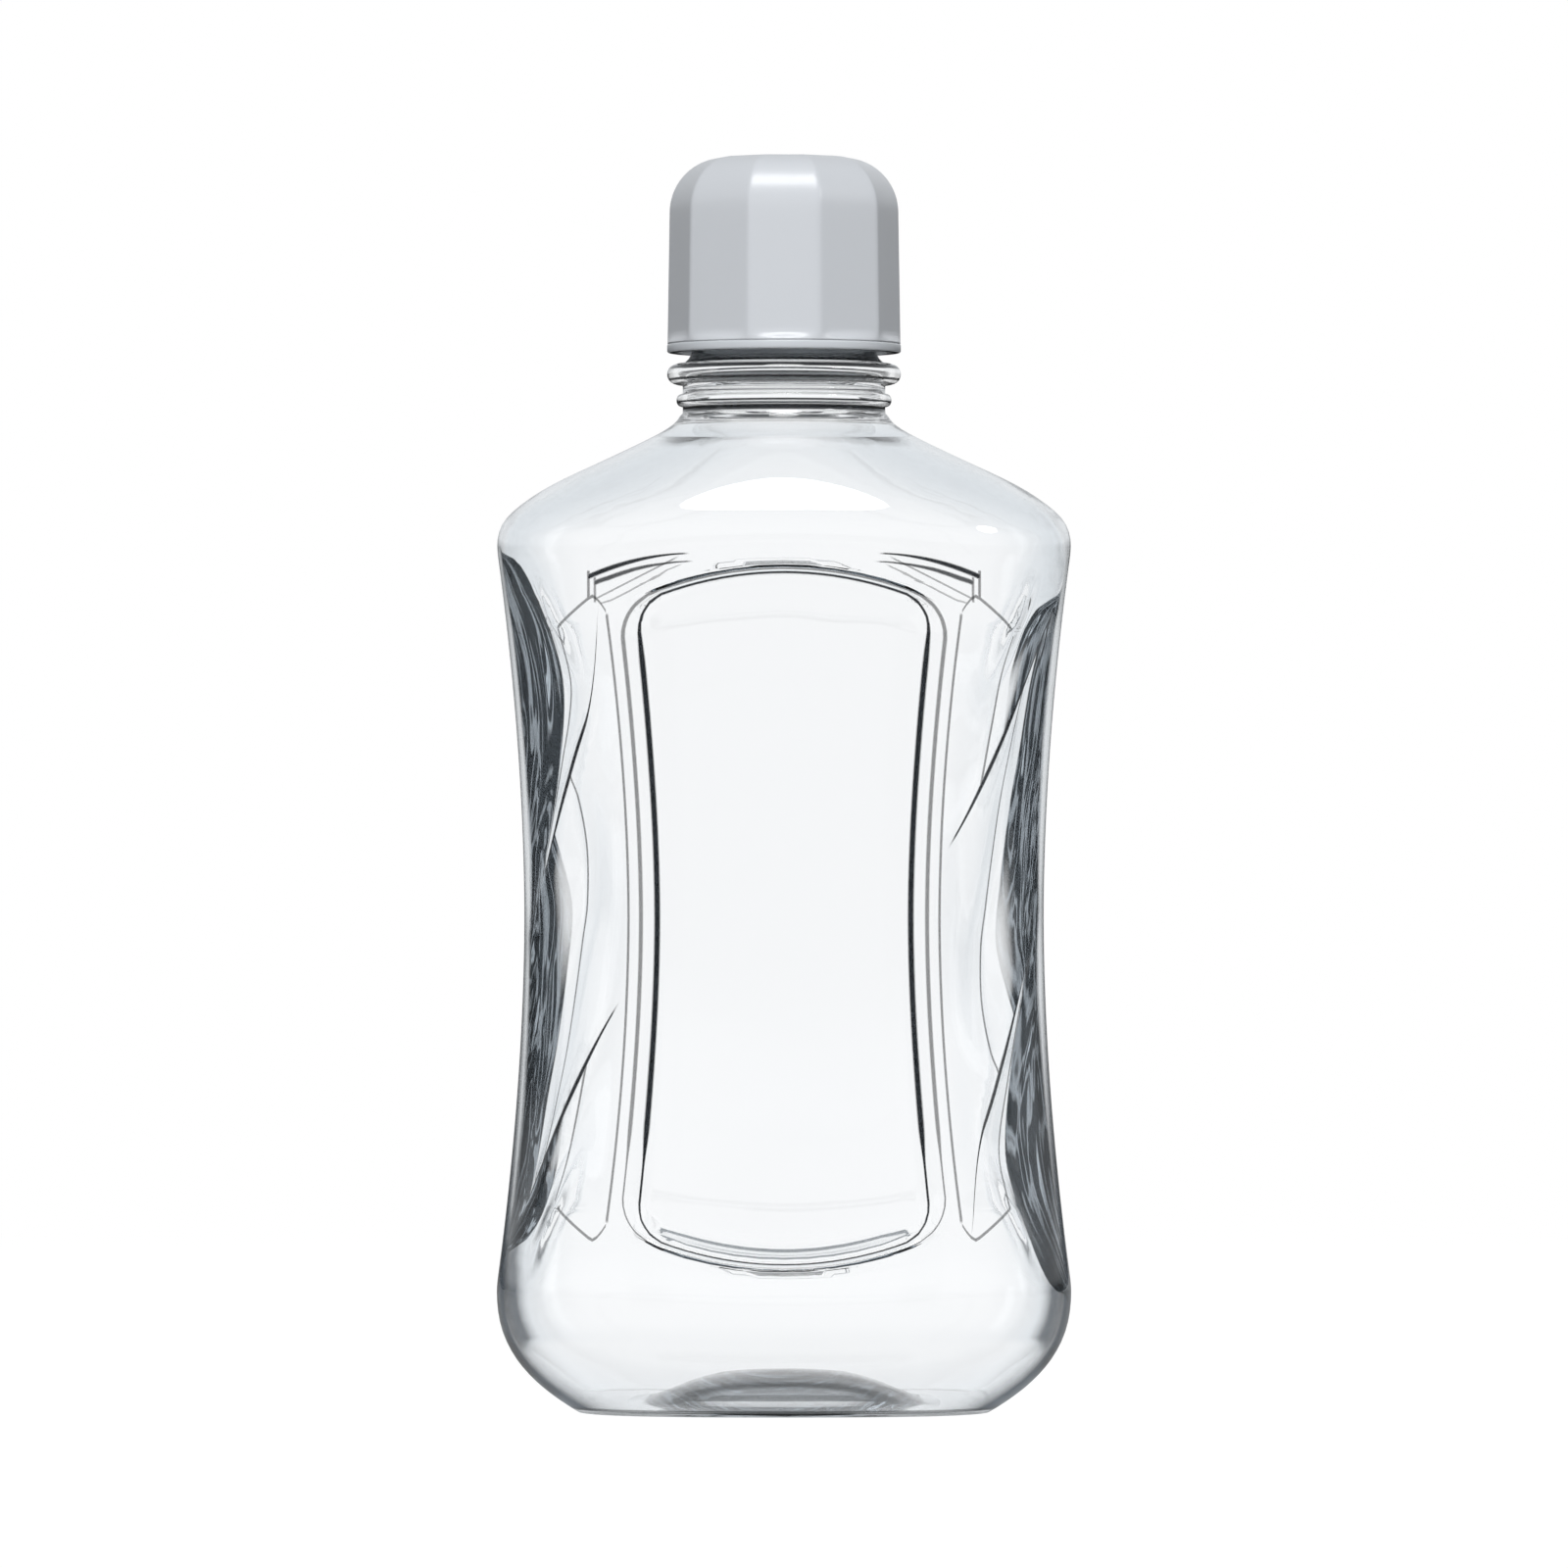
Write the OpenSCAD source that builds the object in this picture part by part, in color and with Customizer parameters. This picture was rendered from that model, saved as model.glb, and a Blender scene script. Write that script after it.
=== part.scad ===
// Clear mouthwash bottle with a ten-sided screw cap that holds a measuring cup.
// The origin is the middle of the foot, +Z is up, the width runs along X and the front faces -Y.

/* [Bottle body] */
// Height of the body from the foot to the neck
body_h = 190; // [180:1:210]
// Width of the body at its two widest heights
body_w = 110; // [100:1:130]
// Depth of the body at its two widest heights
body_d = 74; // [66:1:90]
// How far each side is drawn in at the waist
waist_in_w = 5.3; // [3:0.1:8]
// How far the front and the back are drawn in at the waist
waist_in_d = 3.5; // [2:0.1:6]
// Width of the flat foot
foot_w = 79; // [70:1:90]
// Depth of the flat foot
foot_d = 47; // [40:1:56]
// Height of the lower widest place
belly_z = 24; // [20:0.5:27]
// Height of the shoulder above the upper widest place
shoulder_rise = 24.6; // [22:0.1:30]
// Thickness of the body wall
wall_t = 1.2; // [0.9:0.1:1.8]
// How far the middle of the base is pushed up
push_up_h = 5.5; // [3:0.5:9]

/* [Label panels] */
// Width of the frame round a panel, at the waist
frame_w = 58.8; // [50:0.2:64]
// How much wider the frame is at the panel's ends, on each side
frame_flare = 4; // [2:0.2:5]
// Width of the flat rim between the frame's edge and the bevel
frame_rim = 2.4; // [1.5:0.1:4]
// Width of the bevel down to the panel
bevel_w = 3.1; // [2:0.1:4]
// Depth of the panel below the rim
panel_depth = 1.2; // [0.6:0.1:2]
// Rise of the arched upper and lower edges of the panel
panel_arch = 8.5; // [4:0.5:10]

/* [Corner grips] */
// Deepest point of a grip scoop
grip_depth = 3.6; // [2:0.1:4.5]
// Height between two twisted creases on one corner
crease_pitch = 71.9; // [60:0.1:90]
// Height between the ends of the grips and the widest places
grip_end_gap = 3.95; // [2:0.05:8]
// Height over which a scoop runs out at its end
grip_runout = 14; // [10:0.5:20]

/* [Neck] */
// Diameter of the neck wall under the thread
neck_d = 35.4; // [34:0.1:37]
// Thickness of the neck wall under the thread
neck_t = 1.8; // [1.4:0.1:2.4]
// Height of the neck from the shoulder to the lip
neck_h = 30; // [28:0.5:34]
// How far the collar between bead and shoulder stands out from the neck wall
collar_out = 1.7; // [1:0.1:2.5]
// How far the bead below the cap stands out from the collar
bead_out = 3; // [2:0.1:4]
// Thickness of the bead
bead_t = 4.1; // [3:0.1:5]
// Height of the middle of the bead above the shoulder
bead_rise = 8.5; // [8:0.1:10]
// How far the small ring under the bead stands out from the collar
under_ring_out = 1.2; // [0.6:0.1:2]
// Thickness of the small ring under the bead
under_ring_t = 2.4; // [1.5:0.1:3]
// Height of the middle of the small ring above the shoulder
under_ring_rise = 3.5; // [3:0.1:4.5]
// Depth of the rounding on the lip
lip_round = 0.6; // [0.2:0.1:0.8]

/* [Cap] */
// Number of facets round the cap
cap_sides = 10; // [8:2:14]
// Gap between the neck wall and the skirt of the cup, where the threads meet
thread_gap = 1.03; // [0.8:0.01:1.4]
// How much narrower the shell is below its rounding, on each side
cap_draft = 0.4; // [0:0.1:0.8]
// Height of the top of the cap above the lip
crown_rise = 20; // [18:0.5:26]
// Gap between the bead and the open edge of the cap
cap_gap = 2.05; // [1:0.05:4]
// Radius of the rounding at the top of the shell
cap_round = 10.5; // [8:0.5:12]
// Wall of the cap shell
shell_t = 1.1; // [0.9:0.1:1.3]
// Height of the round flange under the shell
flange_h = 1.7; // [1.2:0.1:2.5]

/* [Measuring cup and seal] */
// Wall of the measuring cup
cup_t = 1.1; // [0.8:0.1:1.3]
// Gap between the shell's facets and the cup
shell_gap = 0.1; // [0.05:0.05:0.3]
// How much narrower the mouth of the cup is than the neck bore, on each side
cup_step = 0.5; // [0.3:0.1:2]
// How much narrower the cup is at its floor, on each side
cup_taper = 0.8; // [0.3:0.1:1.5]
// Radius of the rounding round the cup's floor
cup_round = 5; // [3:0.5:7]
// Gap between the cup's floor and the shell's crown
crown_gap = 0.6; // [0.3:0.1:1]
// Thickness of the seal ring
seal_t = 1.2; // [0.8:0.1:2]
// Radial gap on both sides of the seal ring
seal_gap = 0.3; // [0.1:0.05:0.5]

/* [Hidden] */

// Heights of the rows between foot and lower widest place, and the power of the curve between them
heel_shares = [0, 0.05, 0.12, 0.2, 0.3, 0.42, 0.56, 0.72, 0.87];
heel_power = 2.6;
// Shape of the shoulder from the side: height share, width share
shoulder_w_shares = [[0, 1], [0.1, 0.992], [0.215, 0.955], [0.35, 0.846], [0.476, 0.711],
                     [0.6, 0.53], [0.724, 0.345], [0.86, 0.15], [0.947, 0.04], [1, 0]];
// Shape of the shoulder from the front: height share, depth share
shoulder_d_shares = [[0, 1], [0.1, 0.985], [0.215, 0.94], [0.35, 0.85], [0.476, 0.745],
                     [0.6, 0.61], [0.724, 0.45], [0.86, 0.24], [0.947, 0.08], [1, 0]];
// Squareness of the cross-section up the shoulder: height share, exponent
shoulder_square_shares = [[0, 2.8], [0.35, 2.6], [0.75, 2.15], [1, 2]];
// Push-up in the base: height share of the push-up, width share of the foot
push_up_shares = [[0.995, 0.12], [0.9, 0.3], [0.6, 0.46], [0.25, 0.58], [0, 0.68]];
// How the panel's arch fades above and below its edge: height share of the half panel, arch share
arch_shares = [[0.45, 0], [1, 1], [1.1, 0.55], [1.25, 0.2], [1.5, 0]];
// Columns across half a panel, as shares of its half width
panel_column_shares = [0, 0.35, 0.7, 1];
// Height of the bevel at the panel's ends, as a share of the step from row to row
bevel_row_share = 0.25;

// Power of the curve that draws the body in at its waist
waist_power = 1.85;
// Exponent of the cross-section's rounded rectangle
body_square = 2.8;
// Columns from the frame's edge to the middle of the side
side_steps = 10;
// Column of the deepest line of a scoop, as a share of the way round the side
scoop_line_share = 0.6;
// Width of the smooth strip in the middle of each side, as a share of the way round
strip_share = 0.1;
// Depth that a scoop keeps at a crease, as a share of its full depth
crease_depth_share = 0.35;
// Powers of the curves across a scoop, outside and inside its deepest line, and between two creases
ramp_power = 1.25;
lobe_power = 0.8;
crease_power = 1.6;
// Power that makes the bead and the small ring blunt
bulge_power = 0.7;
// Share of a turn that is taken as no more than rounding of the numbers
rounding_share = 0.0001;

// Rows of the panels and of the grips above the waist, and as many below it
panel_rows = 11;
grip_rows = 13;
shoulder_z = body_h;
chest_z = body_h - shoulder_rise;
// The waist and the middle of the panels and grips lie halfway between the two widest places
waist_z = (belly_z + chest_z) / 2;
grip_half_h = chest_z - waist_z - grip_end_gap;
row_step = grip_half_h / grip_rows;
panel_half_h = panel_rows * row_step;
// A crease climbs one row from column to column, so that it runs along edges of the mesh
crease_rise = 2 * side_steps * row_step;

neck_r = neck_d / 2;
bore_r = neck_r - neck_t;
collar_r = neck_r + collar_out;
lip_z = shoulder_z + neck_h;
bead_z = shoulder_z + bead_rise;
under_ring_z = shoulder_z + under_ring_rise;
cap_open_z = bead_z + bead_t / 2 + cap_gap;
cap_top_z = lip_z + crown_rise;
// Radius of the shoulder's own top, just outside the neck's collar
neck_base_r = collar_r + wall_t / 4;
// Overlap of the neck and the shoulder where the two are one wall
weld = wall_t / 2;
// How far the inner skin lies under the outer one on the shoulder, and the share of the way up that it takes
shoulder_drop = wall_t * 0.9;
drop_share = 0.25;
// Edges round each revolved wall
round_edges = 96;
// Steps of angle on the bulges and on the roundings of cap and cup
arc_step = 15;
crown_step = 10;

// Power that turns a share of the way into a smooth start and a smooth end
function ease(s) = let (q = max(0, min(1, s))) q * q * (3 - 2 * q);

// Half width or half depth of the body at height z
function half(z, foot, widest, waist, shares) =
    z < belly_z ? foot + (widest - foot) * (1 - pow(1 - z / belly_z, heel_power))
    : z < chest_z ? waist + (widest - waist) * pow(waist_reach(z), waist_power)
    : neck_base_r + (widest - neck_base_r) * lookup((z - chest_z) / (shoulder_z - chest_z), shares);

// Distance from the waist as a share of the way to the widest place on that side
function waist_reach(z) = abs(z - waist_z) / (chest_z - waist_z);

function half_w(z) = half(z, foot_w / 2, body_w / 2, body_w / 2 - waist_in_w, shoulder_w_shares);
function half_d(z) = half(z, foot_d / 2, body_d / 2, body_d / 2 - waist_in_d, shoulder_d_shares);
function square_at(z) = z < chest_z ? body_square
    : lookup((z - chest_z) / (shoulder_z - chest_z), shoulder_square_shares);

// Half width of the frame's edge, which follows the waist and then the silhouette
function frame_half(z) =
    let (reach = abs(z - waist_z), end_half = frame_w / 2 + frame_flare)
    reach < panel_half_h ? frame_w / 2 + frame_flare * pow(reach / panel_half_h, waist_power)
    : end_half * half_w(z) / half_w(waist_z + sign(z - waist_z) * panel_half_h);

// Rise of a row where it crosses a panel, from nothing at the frame's edge
function arch(z) = sign(z - waist_z) * panel_arch * lookup(abs(z - waist_z) / panel_half_h, arch_shares);

// Depth of the panel in row z at the distance x from its middle
function panel_cut(z, x) =
    let (inner = frame_half(z) - frame_rim - bevel_w)
    abs(z - waist_z) > panel_half_h + row_step * bevel_row_share / 2 ? 0
    : panel_depth * max(0, min(1, 1 - (x - inner) / bevel_w));

// Share of the scoop's depth at the place c round the side, from -1 at the front to 1 at the back
function scoop_across(c) =
    let (u = abs(c))
    u >= scoop_line_share ? pow((1 - u) / (1 - scoop_line_share), ramp_power)
    : u <= strip_share ? 0
    : pow(2 * ease((1 + (u - strip_share) / (scoop_line_share - strip_share)) / 2) - 1, lobe_power);

// Share of the scoop's depth between two creases, sharp at each crease
function scoop_along(c, z) =
    let (turn = (z - waist_z - c * crease_rise / 2) / crease_pitch,
         phase = turn - floor(turn + rounding_share))
    crease_depth_share + (1 - crease_depth_share) * (1 - pow(abs(2 * phase - 1), crease_power));

function scoop_cut(c, z) =
    grip_depth * scoop_across(c) * scoop_along(c, z)
    * ease((grip_half_h - abs(z - waist_z)) / grip_runout);

// Point of a skin: section = [z, half width, half depth, exponent], turned out at the angle a
function skin_point(section, a, side, inset, z) =
    let (w = section[1], d = section[2], n = section[3],
         nx = pow(cos(a), 2 - 2 / n) / w, ny = pow(sin(a), 2 - 2 / n) / d,
         move = inset / norm([nx, ny]))
    [w * pow(cos(a), 2 / n) - move * nx, side * (d * pow(sin(a), 2 / n) - move * ny), z];

// Points of one panel column: x is its distance from the middle, side is -1 at the front
function panel_point(section, x, side, inset) =
    let (z = section[0], a = acos(min(1, pow(x / section[1], section[3] / 2))),
         edge = frame_half(z) * section[4])
    skin_point(section, a, side, inset + (section[4] == 1 ? panel_cut(z, x) : 0),
               section[5] + arch(z) * section[4] * (1 - pow(x / edge, 2)));

function side_point(section, c, inset) =
    let (z = section[0], edge = frame_half(z) * section[4],
         a = abs(c) * acos(pow(edge / section[1], section[3] / 2)))
    skin_point(section, a, c < 0 ? -1 : 1, inset + (section[4] == 1 ? scoop_cut(c, z) : 0), section[5]);

// Distances of the panel's columns from the middle, out to the frame's edge
function panel_columns(section) =
    let (edge = frame_half(section[0]) * section[4],
         share = edge / frame_half(section[0]),
         outer = edge - frame_rim * share, inner = outer - bevel_w * share)
    [for (s = panel_column_shares) s * inner, outer, edge];

// Half a ring, anticlockwise from the middle of the front to the middle of the back
function half_ring(section, inset, step) =
    let (columns = panel_columns(section), last = len(columns) - 1)
    concat([for (i = [0 : last]) panel_point(section, columns[i], -1, inset)],
           [for (i = [step : step : 2 * side_steps - step]) side_point(section, i / side_steps - 1, inset)],
           [for (i = [last : -1 : 1]) panel_point(section, columns[i], 1, inset)]);

function full_ring(section, inset, step) =
    let (points = half_ring(section, inset, step))
    concat(points, [for (p = points) [-p[0], -p[1], p[2]]]);

// Cross-section at height z, moved up or down by lift: z, half width, half depth, exponent, size, height
function section_at(z, lift) = [z, half_w(z), half_d(z), square_at(z), 1, z + lift];

// Cross-section of the push-up: a smaller foot, higher up, made wider by grow on every side
function push_up_section(shares, lift, grow) =
    [0, foot_w / 2 * shares[1] + grow, foot_d / 2 * shares[1] + grow, body_square, shares[1],
     push_up_h * shares[0] + lift];

heel_rows = [for (s = heel_shares) section_at(belly_z * s, 0)];
bevel_rows = panel_rows + bevel_row_share;
side_rows = [for (k = concat([for (i = [-grip_rows : -panel_rows - 1]) i], [-bevel_rows],
                             [for (i = [-panel_rows : panel_rows]) i], [bevel_rows],
                             [for (i = [panel_rows + 1 : grip_rows]) i]))
    section_at(waist_z + k * row_step, 0)];
shoulder_rows = [for (s = shoulder_w_shares) section_at(chest_z + (shoulder_z - chest_z) * s[0], 0)];
outer_rows = concat([for (s = push_up_shares) push_up_section(s, 0, 0)], heel_rows, side_rows, shoulder_rows);

// Triangles between two rings of n points that start at the indexes a and b, facing out
function band(a, b, n) = [for (i = [0 : n - 1]) let (j = (i + 1) % n)
    each [[a + i, b + j, a + j], [a + i, b + i, b + j]]];

// The inner skin has half the rows, all those at the panel's ends, and its floor and shoulder keep their wall
inner_heel_rows = [for (s = heel_shares) section_at(belly_z * s, wall_t * (1 - s))];
inner_side_rows = [for (k = concat([-grip_rows, -bevel_rows],
                                   [for (i = [-panel_rows : 2 : panel_rows]) i], [bevel_rows, grip_rows]))
    section_at(waist_z + k * row_step, 0)];
inner_shoulder_rows = [for (s = shoulder_w_shares) if (s[0] < 1)
    section_at(chest_z + (shoulder_z - chest_z) * s[0], -shoulder_drop * min(1, s[0] / drop_share))];
cavity_mouth_r = bore_r + weld + wall_t;
inner_rows = concat([for (s = push_up_shares) push_up_section(s, wall_t, 3 / 2 * wall_t)],
                    inner_heel_rows, inner_side_rows, inner_shoulder_rows,
                    [[shoulder_z, cavity_mouth_r, cavity_mouth_r, 2,
                      cavity_mouth_r / neck_base_r, shoulder_z]]);

// Solid inside a stack of rings: one column more or less does not change its outline
module skin(rows, inset, step) {
    rings = [for (r = rows) full_ring(r, inset, step)];
    n = len(rings[0]);
    poles = [[0, 0, rings[0][0][2]], [0, 0, rows[len(rows) - 1][5]]];
    top = (len(rows) - 1) * n;
    polyhedron(points = concat([for (ring = rings) each ring], poles),
               faces = concat([for (i = [0 : n - 1]) [len(rows) * n, i, (i + 1) % n]],
                              [for (r = [0 : len(rows) - 2]) each band(r * n, (r + 1) * n, n)],
                              [for (i = [0 : n - 1]) [len(rows) * n + 1, top + (i + 1) % n, top + i]]));
}

// Half a bulge that stands out from the radius base to the radius peak round the height z
function bulge(base, peak, z, thickness) =
    [for (a = [-90 : arc_step : 90])
        [base + (peak - base) * pow(cos(a), bulge_power), z + thickness / 2 * sin(a)]];

module neck_wall() {
    rotate_extrude($fn = round_edges)
        polygon(concat([[0, shoulder_z - weld], [collar_r, shoulder_z - weld]],
                       bulge(collar_r, collar_r + under_ring_out, under_ring_z, under_ring_t),
                       bulge(collar_r, collar_r + bead_out, bead_z, bead_t),
                       [[neck_r, cap_open_z], [neck_r, lip_z - lip_round],
                        [neck_r - lip_round, lip_z], [0, lip_z]]));
}

module bottle() {
    color([0.86, 0.91, 0.94, 0.55])
        difference() {
            union() {
                skin(outer_rows, 0, 1);
                neck_wall();
            }
            skin(inner_rows, wall_t, 2);
            translate([0, 0, shoulder_z - 2 * shoulder_drop])
                cylinder(r = bore_r, h = lip_z - shoulder_z + 3 * shoulder_drop, $fn = round_edges);
        }
}

shell_bottom_z = cap_open_z + flange_h;
round_z = cap_top_z - cap_round;
facet_share = cos(180 / cap_sides);
seal_top_z = lip_z + seal_t;
ledge_z = seal_top_z + cup_t;
skirt_r = neck_r + thread_gap;
cup_r = skirt_r + cup_t;
// Share of the shell's draft that is used up at the cup's ledge
ledge_share = (ledge_z - shell_bottom_z) / (round_z - shell_bottom_z);
// Corner radius at the bottom, which leaves the shell's wall and gap round the ledge of the cup
corner_r = (cup_r + shell_gap + shell_t) / facet_share + cap_draft * ledge_share;

// Corner radius of the shell at height z, up to its rounding
function shell_corner_r(z) = corner_r - cap_draft * (z - shell_bottom_z) / (round_z - shell_bottom_z);

// Corner points of the shell's outline, with its corners and rounding drawn in by inset
function shell_outline(inset) =
    let (crown_r = shell_corner_r(round_z) - cap_round)
    concat([[shell_corner_r(shell_bottom_z) - inset / facet_share, shell_bottom_z]],
           [for (a = [0 : crown_step : 90])
               [crown_r + (cap_round - inset / facet_share) * cos(a),
                round_z + (cap_round - inset) * sin(a)]]);

module facet_stack(outline) {
    rows = len(outline);
    n = cap_sides;
    points = [for (p = outline) each
              [for (i = [0 : n - 1]) [p[0] * cos(360 * i / n), p[0] * sin(360 * i / n), p[1]]]];
    polyhedron(points = points,
               faces = concat([[for (i = [0 : n - 1]) i]],
                              [for (r = [0 : rows - 2]) each band(r * n, (r + 1) * n, n)],
                              [[for (i = [n - 1 : -1 : 0]) (rows - 1) * n + i]]));
}

module cap_shell() {
    color([0.8, 0.82, 0.85])
        difference() {
            facet_stack(shell_outline(0));
            facet_stack(concat([[shell_outline(shell_t)[0][0], shell_bottom_z - shell_t]],
                               shell_outline(shell_t)));
        }
}

cup_mouth_r = bore_r - cup_step;
cup_floor_z = cap_top_z - shell_t - crown_gap;

// Wall of the cup above its ledge, inset by 0 for the outside and by the wall for the inside
function cup_wall(inset) =
    let (mouth = cup_mouth_r + cup_t - inset, floor_r = mouth - cup_taper, turn_r = cup_round - inset)
    [for (a = [0 : arc_step : 90])
        [floor_r - turn_r + turn_r * cos(a), cup_floor_z - cup_round + turn_r * sin(a)]];

module measuring_cup() {
    color([0.93, 0.94, 0.95])
        rotate_extrude($fn = round_edges)
            polygon(concat([[skirt_r, cap_open_z], [corner_r, cap_open_z], [corner_r, shell_bottom_z],
                            [cup_r, shell_bottom_z], [cup_r, ledge_z], [cup_mouth_r + cup_t, ledge_z]],
                           cup_wall(0), [[0, cup_floor_z], [0, cup_floor_z - cup_t]],
                           [for (p = [len(cup_wall(0)) - 1 : -1 : 0]) cup_wall(cup_t)[p]],
                           [[cup_mouth_r, seal_top_z], [skirt_r, seal_top_z]]));
}

module seal_ring() {
    color([0.75, 0.77, 0.8])
        rotate_extrude($fn = round_edges)
            translate([bore_r - seal_gap, lip_z])
                square([skirt_r - bore_r, seal_t]);
}

bottle();
cap_shell();
measuring_cup();
seal_ring();
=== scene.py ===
import math

import bpy
import numpy as np
from bpy.props import FloatProperty, FloatVectorProperty, IntProperty, PointerProperty
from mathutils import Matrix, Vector


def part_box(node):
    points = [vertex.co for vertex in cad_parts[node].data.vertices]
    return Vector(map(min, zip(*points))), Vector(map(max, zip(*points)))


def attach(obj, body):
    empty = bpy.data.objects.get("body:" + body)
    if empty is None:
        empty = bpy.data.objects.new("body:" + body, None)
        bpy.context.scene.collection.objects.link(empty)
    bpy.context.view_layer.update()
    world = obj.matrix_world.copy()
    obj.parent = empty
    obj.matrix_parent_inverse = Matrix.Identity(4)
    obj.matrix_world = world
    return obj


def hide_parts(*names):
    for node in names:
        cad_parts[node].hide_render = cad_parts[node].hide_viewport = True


bl_info = {
    "name": "Clear mouthwash bottle",
    "version": (1, 0, 0),
    "blender": (4, 5, 0),
    "location": "3D View > Sidebar > Bottle",
    "description": "Builds the clear waisted bottle, its ten-sided cap and measuring cup, and a pale studio",
    "category": "Add Mesh",
}

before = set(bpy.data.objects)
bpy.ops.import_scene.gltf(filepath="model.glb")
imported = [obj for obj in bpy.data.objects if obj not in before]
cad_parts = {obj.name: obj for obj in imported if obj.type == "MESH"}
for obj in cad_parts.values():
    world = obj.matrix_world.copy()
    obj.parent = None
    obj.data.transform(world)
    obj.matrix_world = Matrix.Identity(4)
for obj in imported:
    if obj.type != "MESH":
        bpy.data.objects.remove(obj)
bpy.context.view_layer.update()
BOTTLE_LOW, BOTTLE_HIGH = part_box("bottle")
SHELL_LOW, SHELL_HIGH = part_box("cap_shell")
CUP_LOW, CUP_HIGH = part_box("measuring_cup")
SEAL_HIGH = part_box("seal_ring")[1]

# Outline tables, as shares of the height and of the width of the part of the body that they shape
SHOULDER_WIDTH = ((0, 1), (0.1, 0.992), (0.215, 0.955), (0.35, 0.846), (0.476, 0.711),
                  (0.6, 0.53), (0.724, 0.345), (0.86, 0.15), (0.947, 0.04), (1, 0))
SHOULDER_DEPTH = ((0, 1), (0.1, 0.985), (0.215, 0.94), (0.35, 0.85), (0.476, 0.745),
                  (0.6, 0.61), (0.724, 0.45), (0.86, 0.24), (0.947, 0.08), (1, 0))
SHOULDER_SQUARE = ((0, 2.8), (0.35, 2.6), (0.75, 2.15), (1, 2))
PUSH_UP = ((0, 1), (0.12, 0.985), (0.3, 0.88), (0.46, 0.6), (0.58, 0.25), (0.66, 0.03), (0.72, 0), (1, 0))
ARCH_FADE = ((0, 0), (0.45, 0), (0.8, 0.52), (1, 1), (1.1, 0.55), (1.25, 0.2), (1.5, 0), (3, 0))
HEEL_ROWS = (0.01, 0.025, 0.05, 0.08, 0.12, 0.16, 0.2, 0.25, 0.3, 0.36, 0.42, 0.49, 0.56, 0.64, 0.72, 0.8,
             0.88, 0.95)
BASE_ROWS = (0.02, 0.06, 0.12, 0.2, 0.3, 0.38, 0.45, 0.51, 0.57, 0.62, 0.66, 0.7, 0.76, 0.84, 0.92, 0.97, 1.0)
HEEL_POWER = 2.6
WAIST_POWER = 1.85
BODY_SQUARE = 2.8
# Lines of the grips' three scoops on a front left side, from the top one down: place across the side, from
# nothing at its middle to one at the frame, by height. First the deepest line, then the foot of the wall
DEEP_LINES = (((0.1066, 0.396), (0.1124, 0.467), (0.1183, 0.534), (0.1254, 0.605), (0.1327, 0.674),
               (0.1399, 0.712), (0.1449, 0.717), (0.155, 0.7)),
              ((0.0471, 0.49), (0.0552, 0.533), (0.0602, 0.554), (0.0689, 0.597), (0.0796, 0.638),
               (0.0905, 0.686), (0.0974, 0.722), (0.1066, 0.735), (0.1175, 0.703), (0.1215, 0.665)),
              ((0.034, 0.64), (0.039, 0.66), (0.042, 0.673), (0.0509, 0.703), (0.0602, 0.75),
               (0.0681, 0.795)))
FOOT_LINES = (((0.1066, 0.396), (0.12, 0.545), (0.1385, 0.646), (0.15, 0.61), (0.157, 0.55), (0.1622, 0.45),
               (0.1645, 0.2)),
              ((0.04, 0.4), (0.0471, 0.42), (0.058, 0.435), (0.0702, 0.498), (0.0847, 0.565),
               (0.096, 0.612), (0.1059, 0.55), (0.1124, 0.49), (0.118, 0.44)),
              ((0.03, 0.2), (0.0325, 0.4), (0.0336, 0.46), (0.04, 0.568), (0.0471, 0.621), (0.0572, 0.65),
               (0.062, 0.66)))
# Share of a side that stays smooth in its middle, length from there to the frame, and columns of a side
STRIP, SIDE_ARC, SIDE_COLUMNS = 0.2, 0.048, 96
# Rows from the waist to the grips' ends, to the panel's ends, to the lower crease's foot, from one crease to
# the next, and to the height about which the sides are turned over
GRIP_ROWS, PANEL_ROWS, CREASE_FOOT_ROWS, CREASE_PITCH_ROWS, CREASE_MIRROR_ROWS = 49, 41.5, -12, 46, 10
# Height of the waist, distance between two creases square to them, and the notch's outer side
WAIST_HEIGHT, CREASE_PITCH_ACROSS, NOTCH_SIDE = 0.0947, 0.0377, 0.0369
# Lead of the thread, half width of its ridge, width of its flanks, and heights of the cup's measuring rings
THREAD_LEAD, THREAD_HALF, THREAD_FLANK = 0.0084, 0.00115, 0.0007
MEASURING_RINGS = (0.2262, 0.23)
# Half widths of the painted dark lines in metres, where there are two for both ends of a taper, and the
# shares of a half width between which a line fades
LINE_EDGE, CREASE_LINE, NOTCH_LINE = (0.6, 1.35), (0.0006, 0.0002), (0.00015, 0.00055)
SCOOP_LINE, FRAME_LINE = 0.00034, 0.00028
# Heights and half widths of the painted dark lines on the neck's rings, from the bead down
NECK_LINES = ((0.2009, 0.00015), (0.1997, 0.0004), (0.1974, 0.00026), (0.1966, 0.00015), (0.1931, 0.0002),
              (0.1917, 0.00062))
# Attributes of the bottle's surface and the inputs of the painted shade group that they feed
FIELD_NAMES = {"panel_place": "Panel Place", "grip_place": "Grip Place", "grip_deep": "Deep Lines",
               "grip_foot": "Foot Lines"}
# Painted shade: near black for the dark lines along the moulded edges and the neck's rings
PAINTED_LINE_SHADE = (0.0008, 0.001, 0.0013, 1)
# Painted shade in the scoops' walls and on the push-up, and the painted reflection streaks across it
PAINTED_DARK_SHADE = (0.003, 0.004, 0.005, 1)
PAINTED_STREAK_REFLECTION = (0.26, 0.31, 0.36, 1)
REFLECTION_STREAK_LEVELS = 5.0
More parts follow.
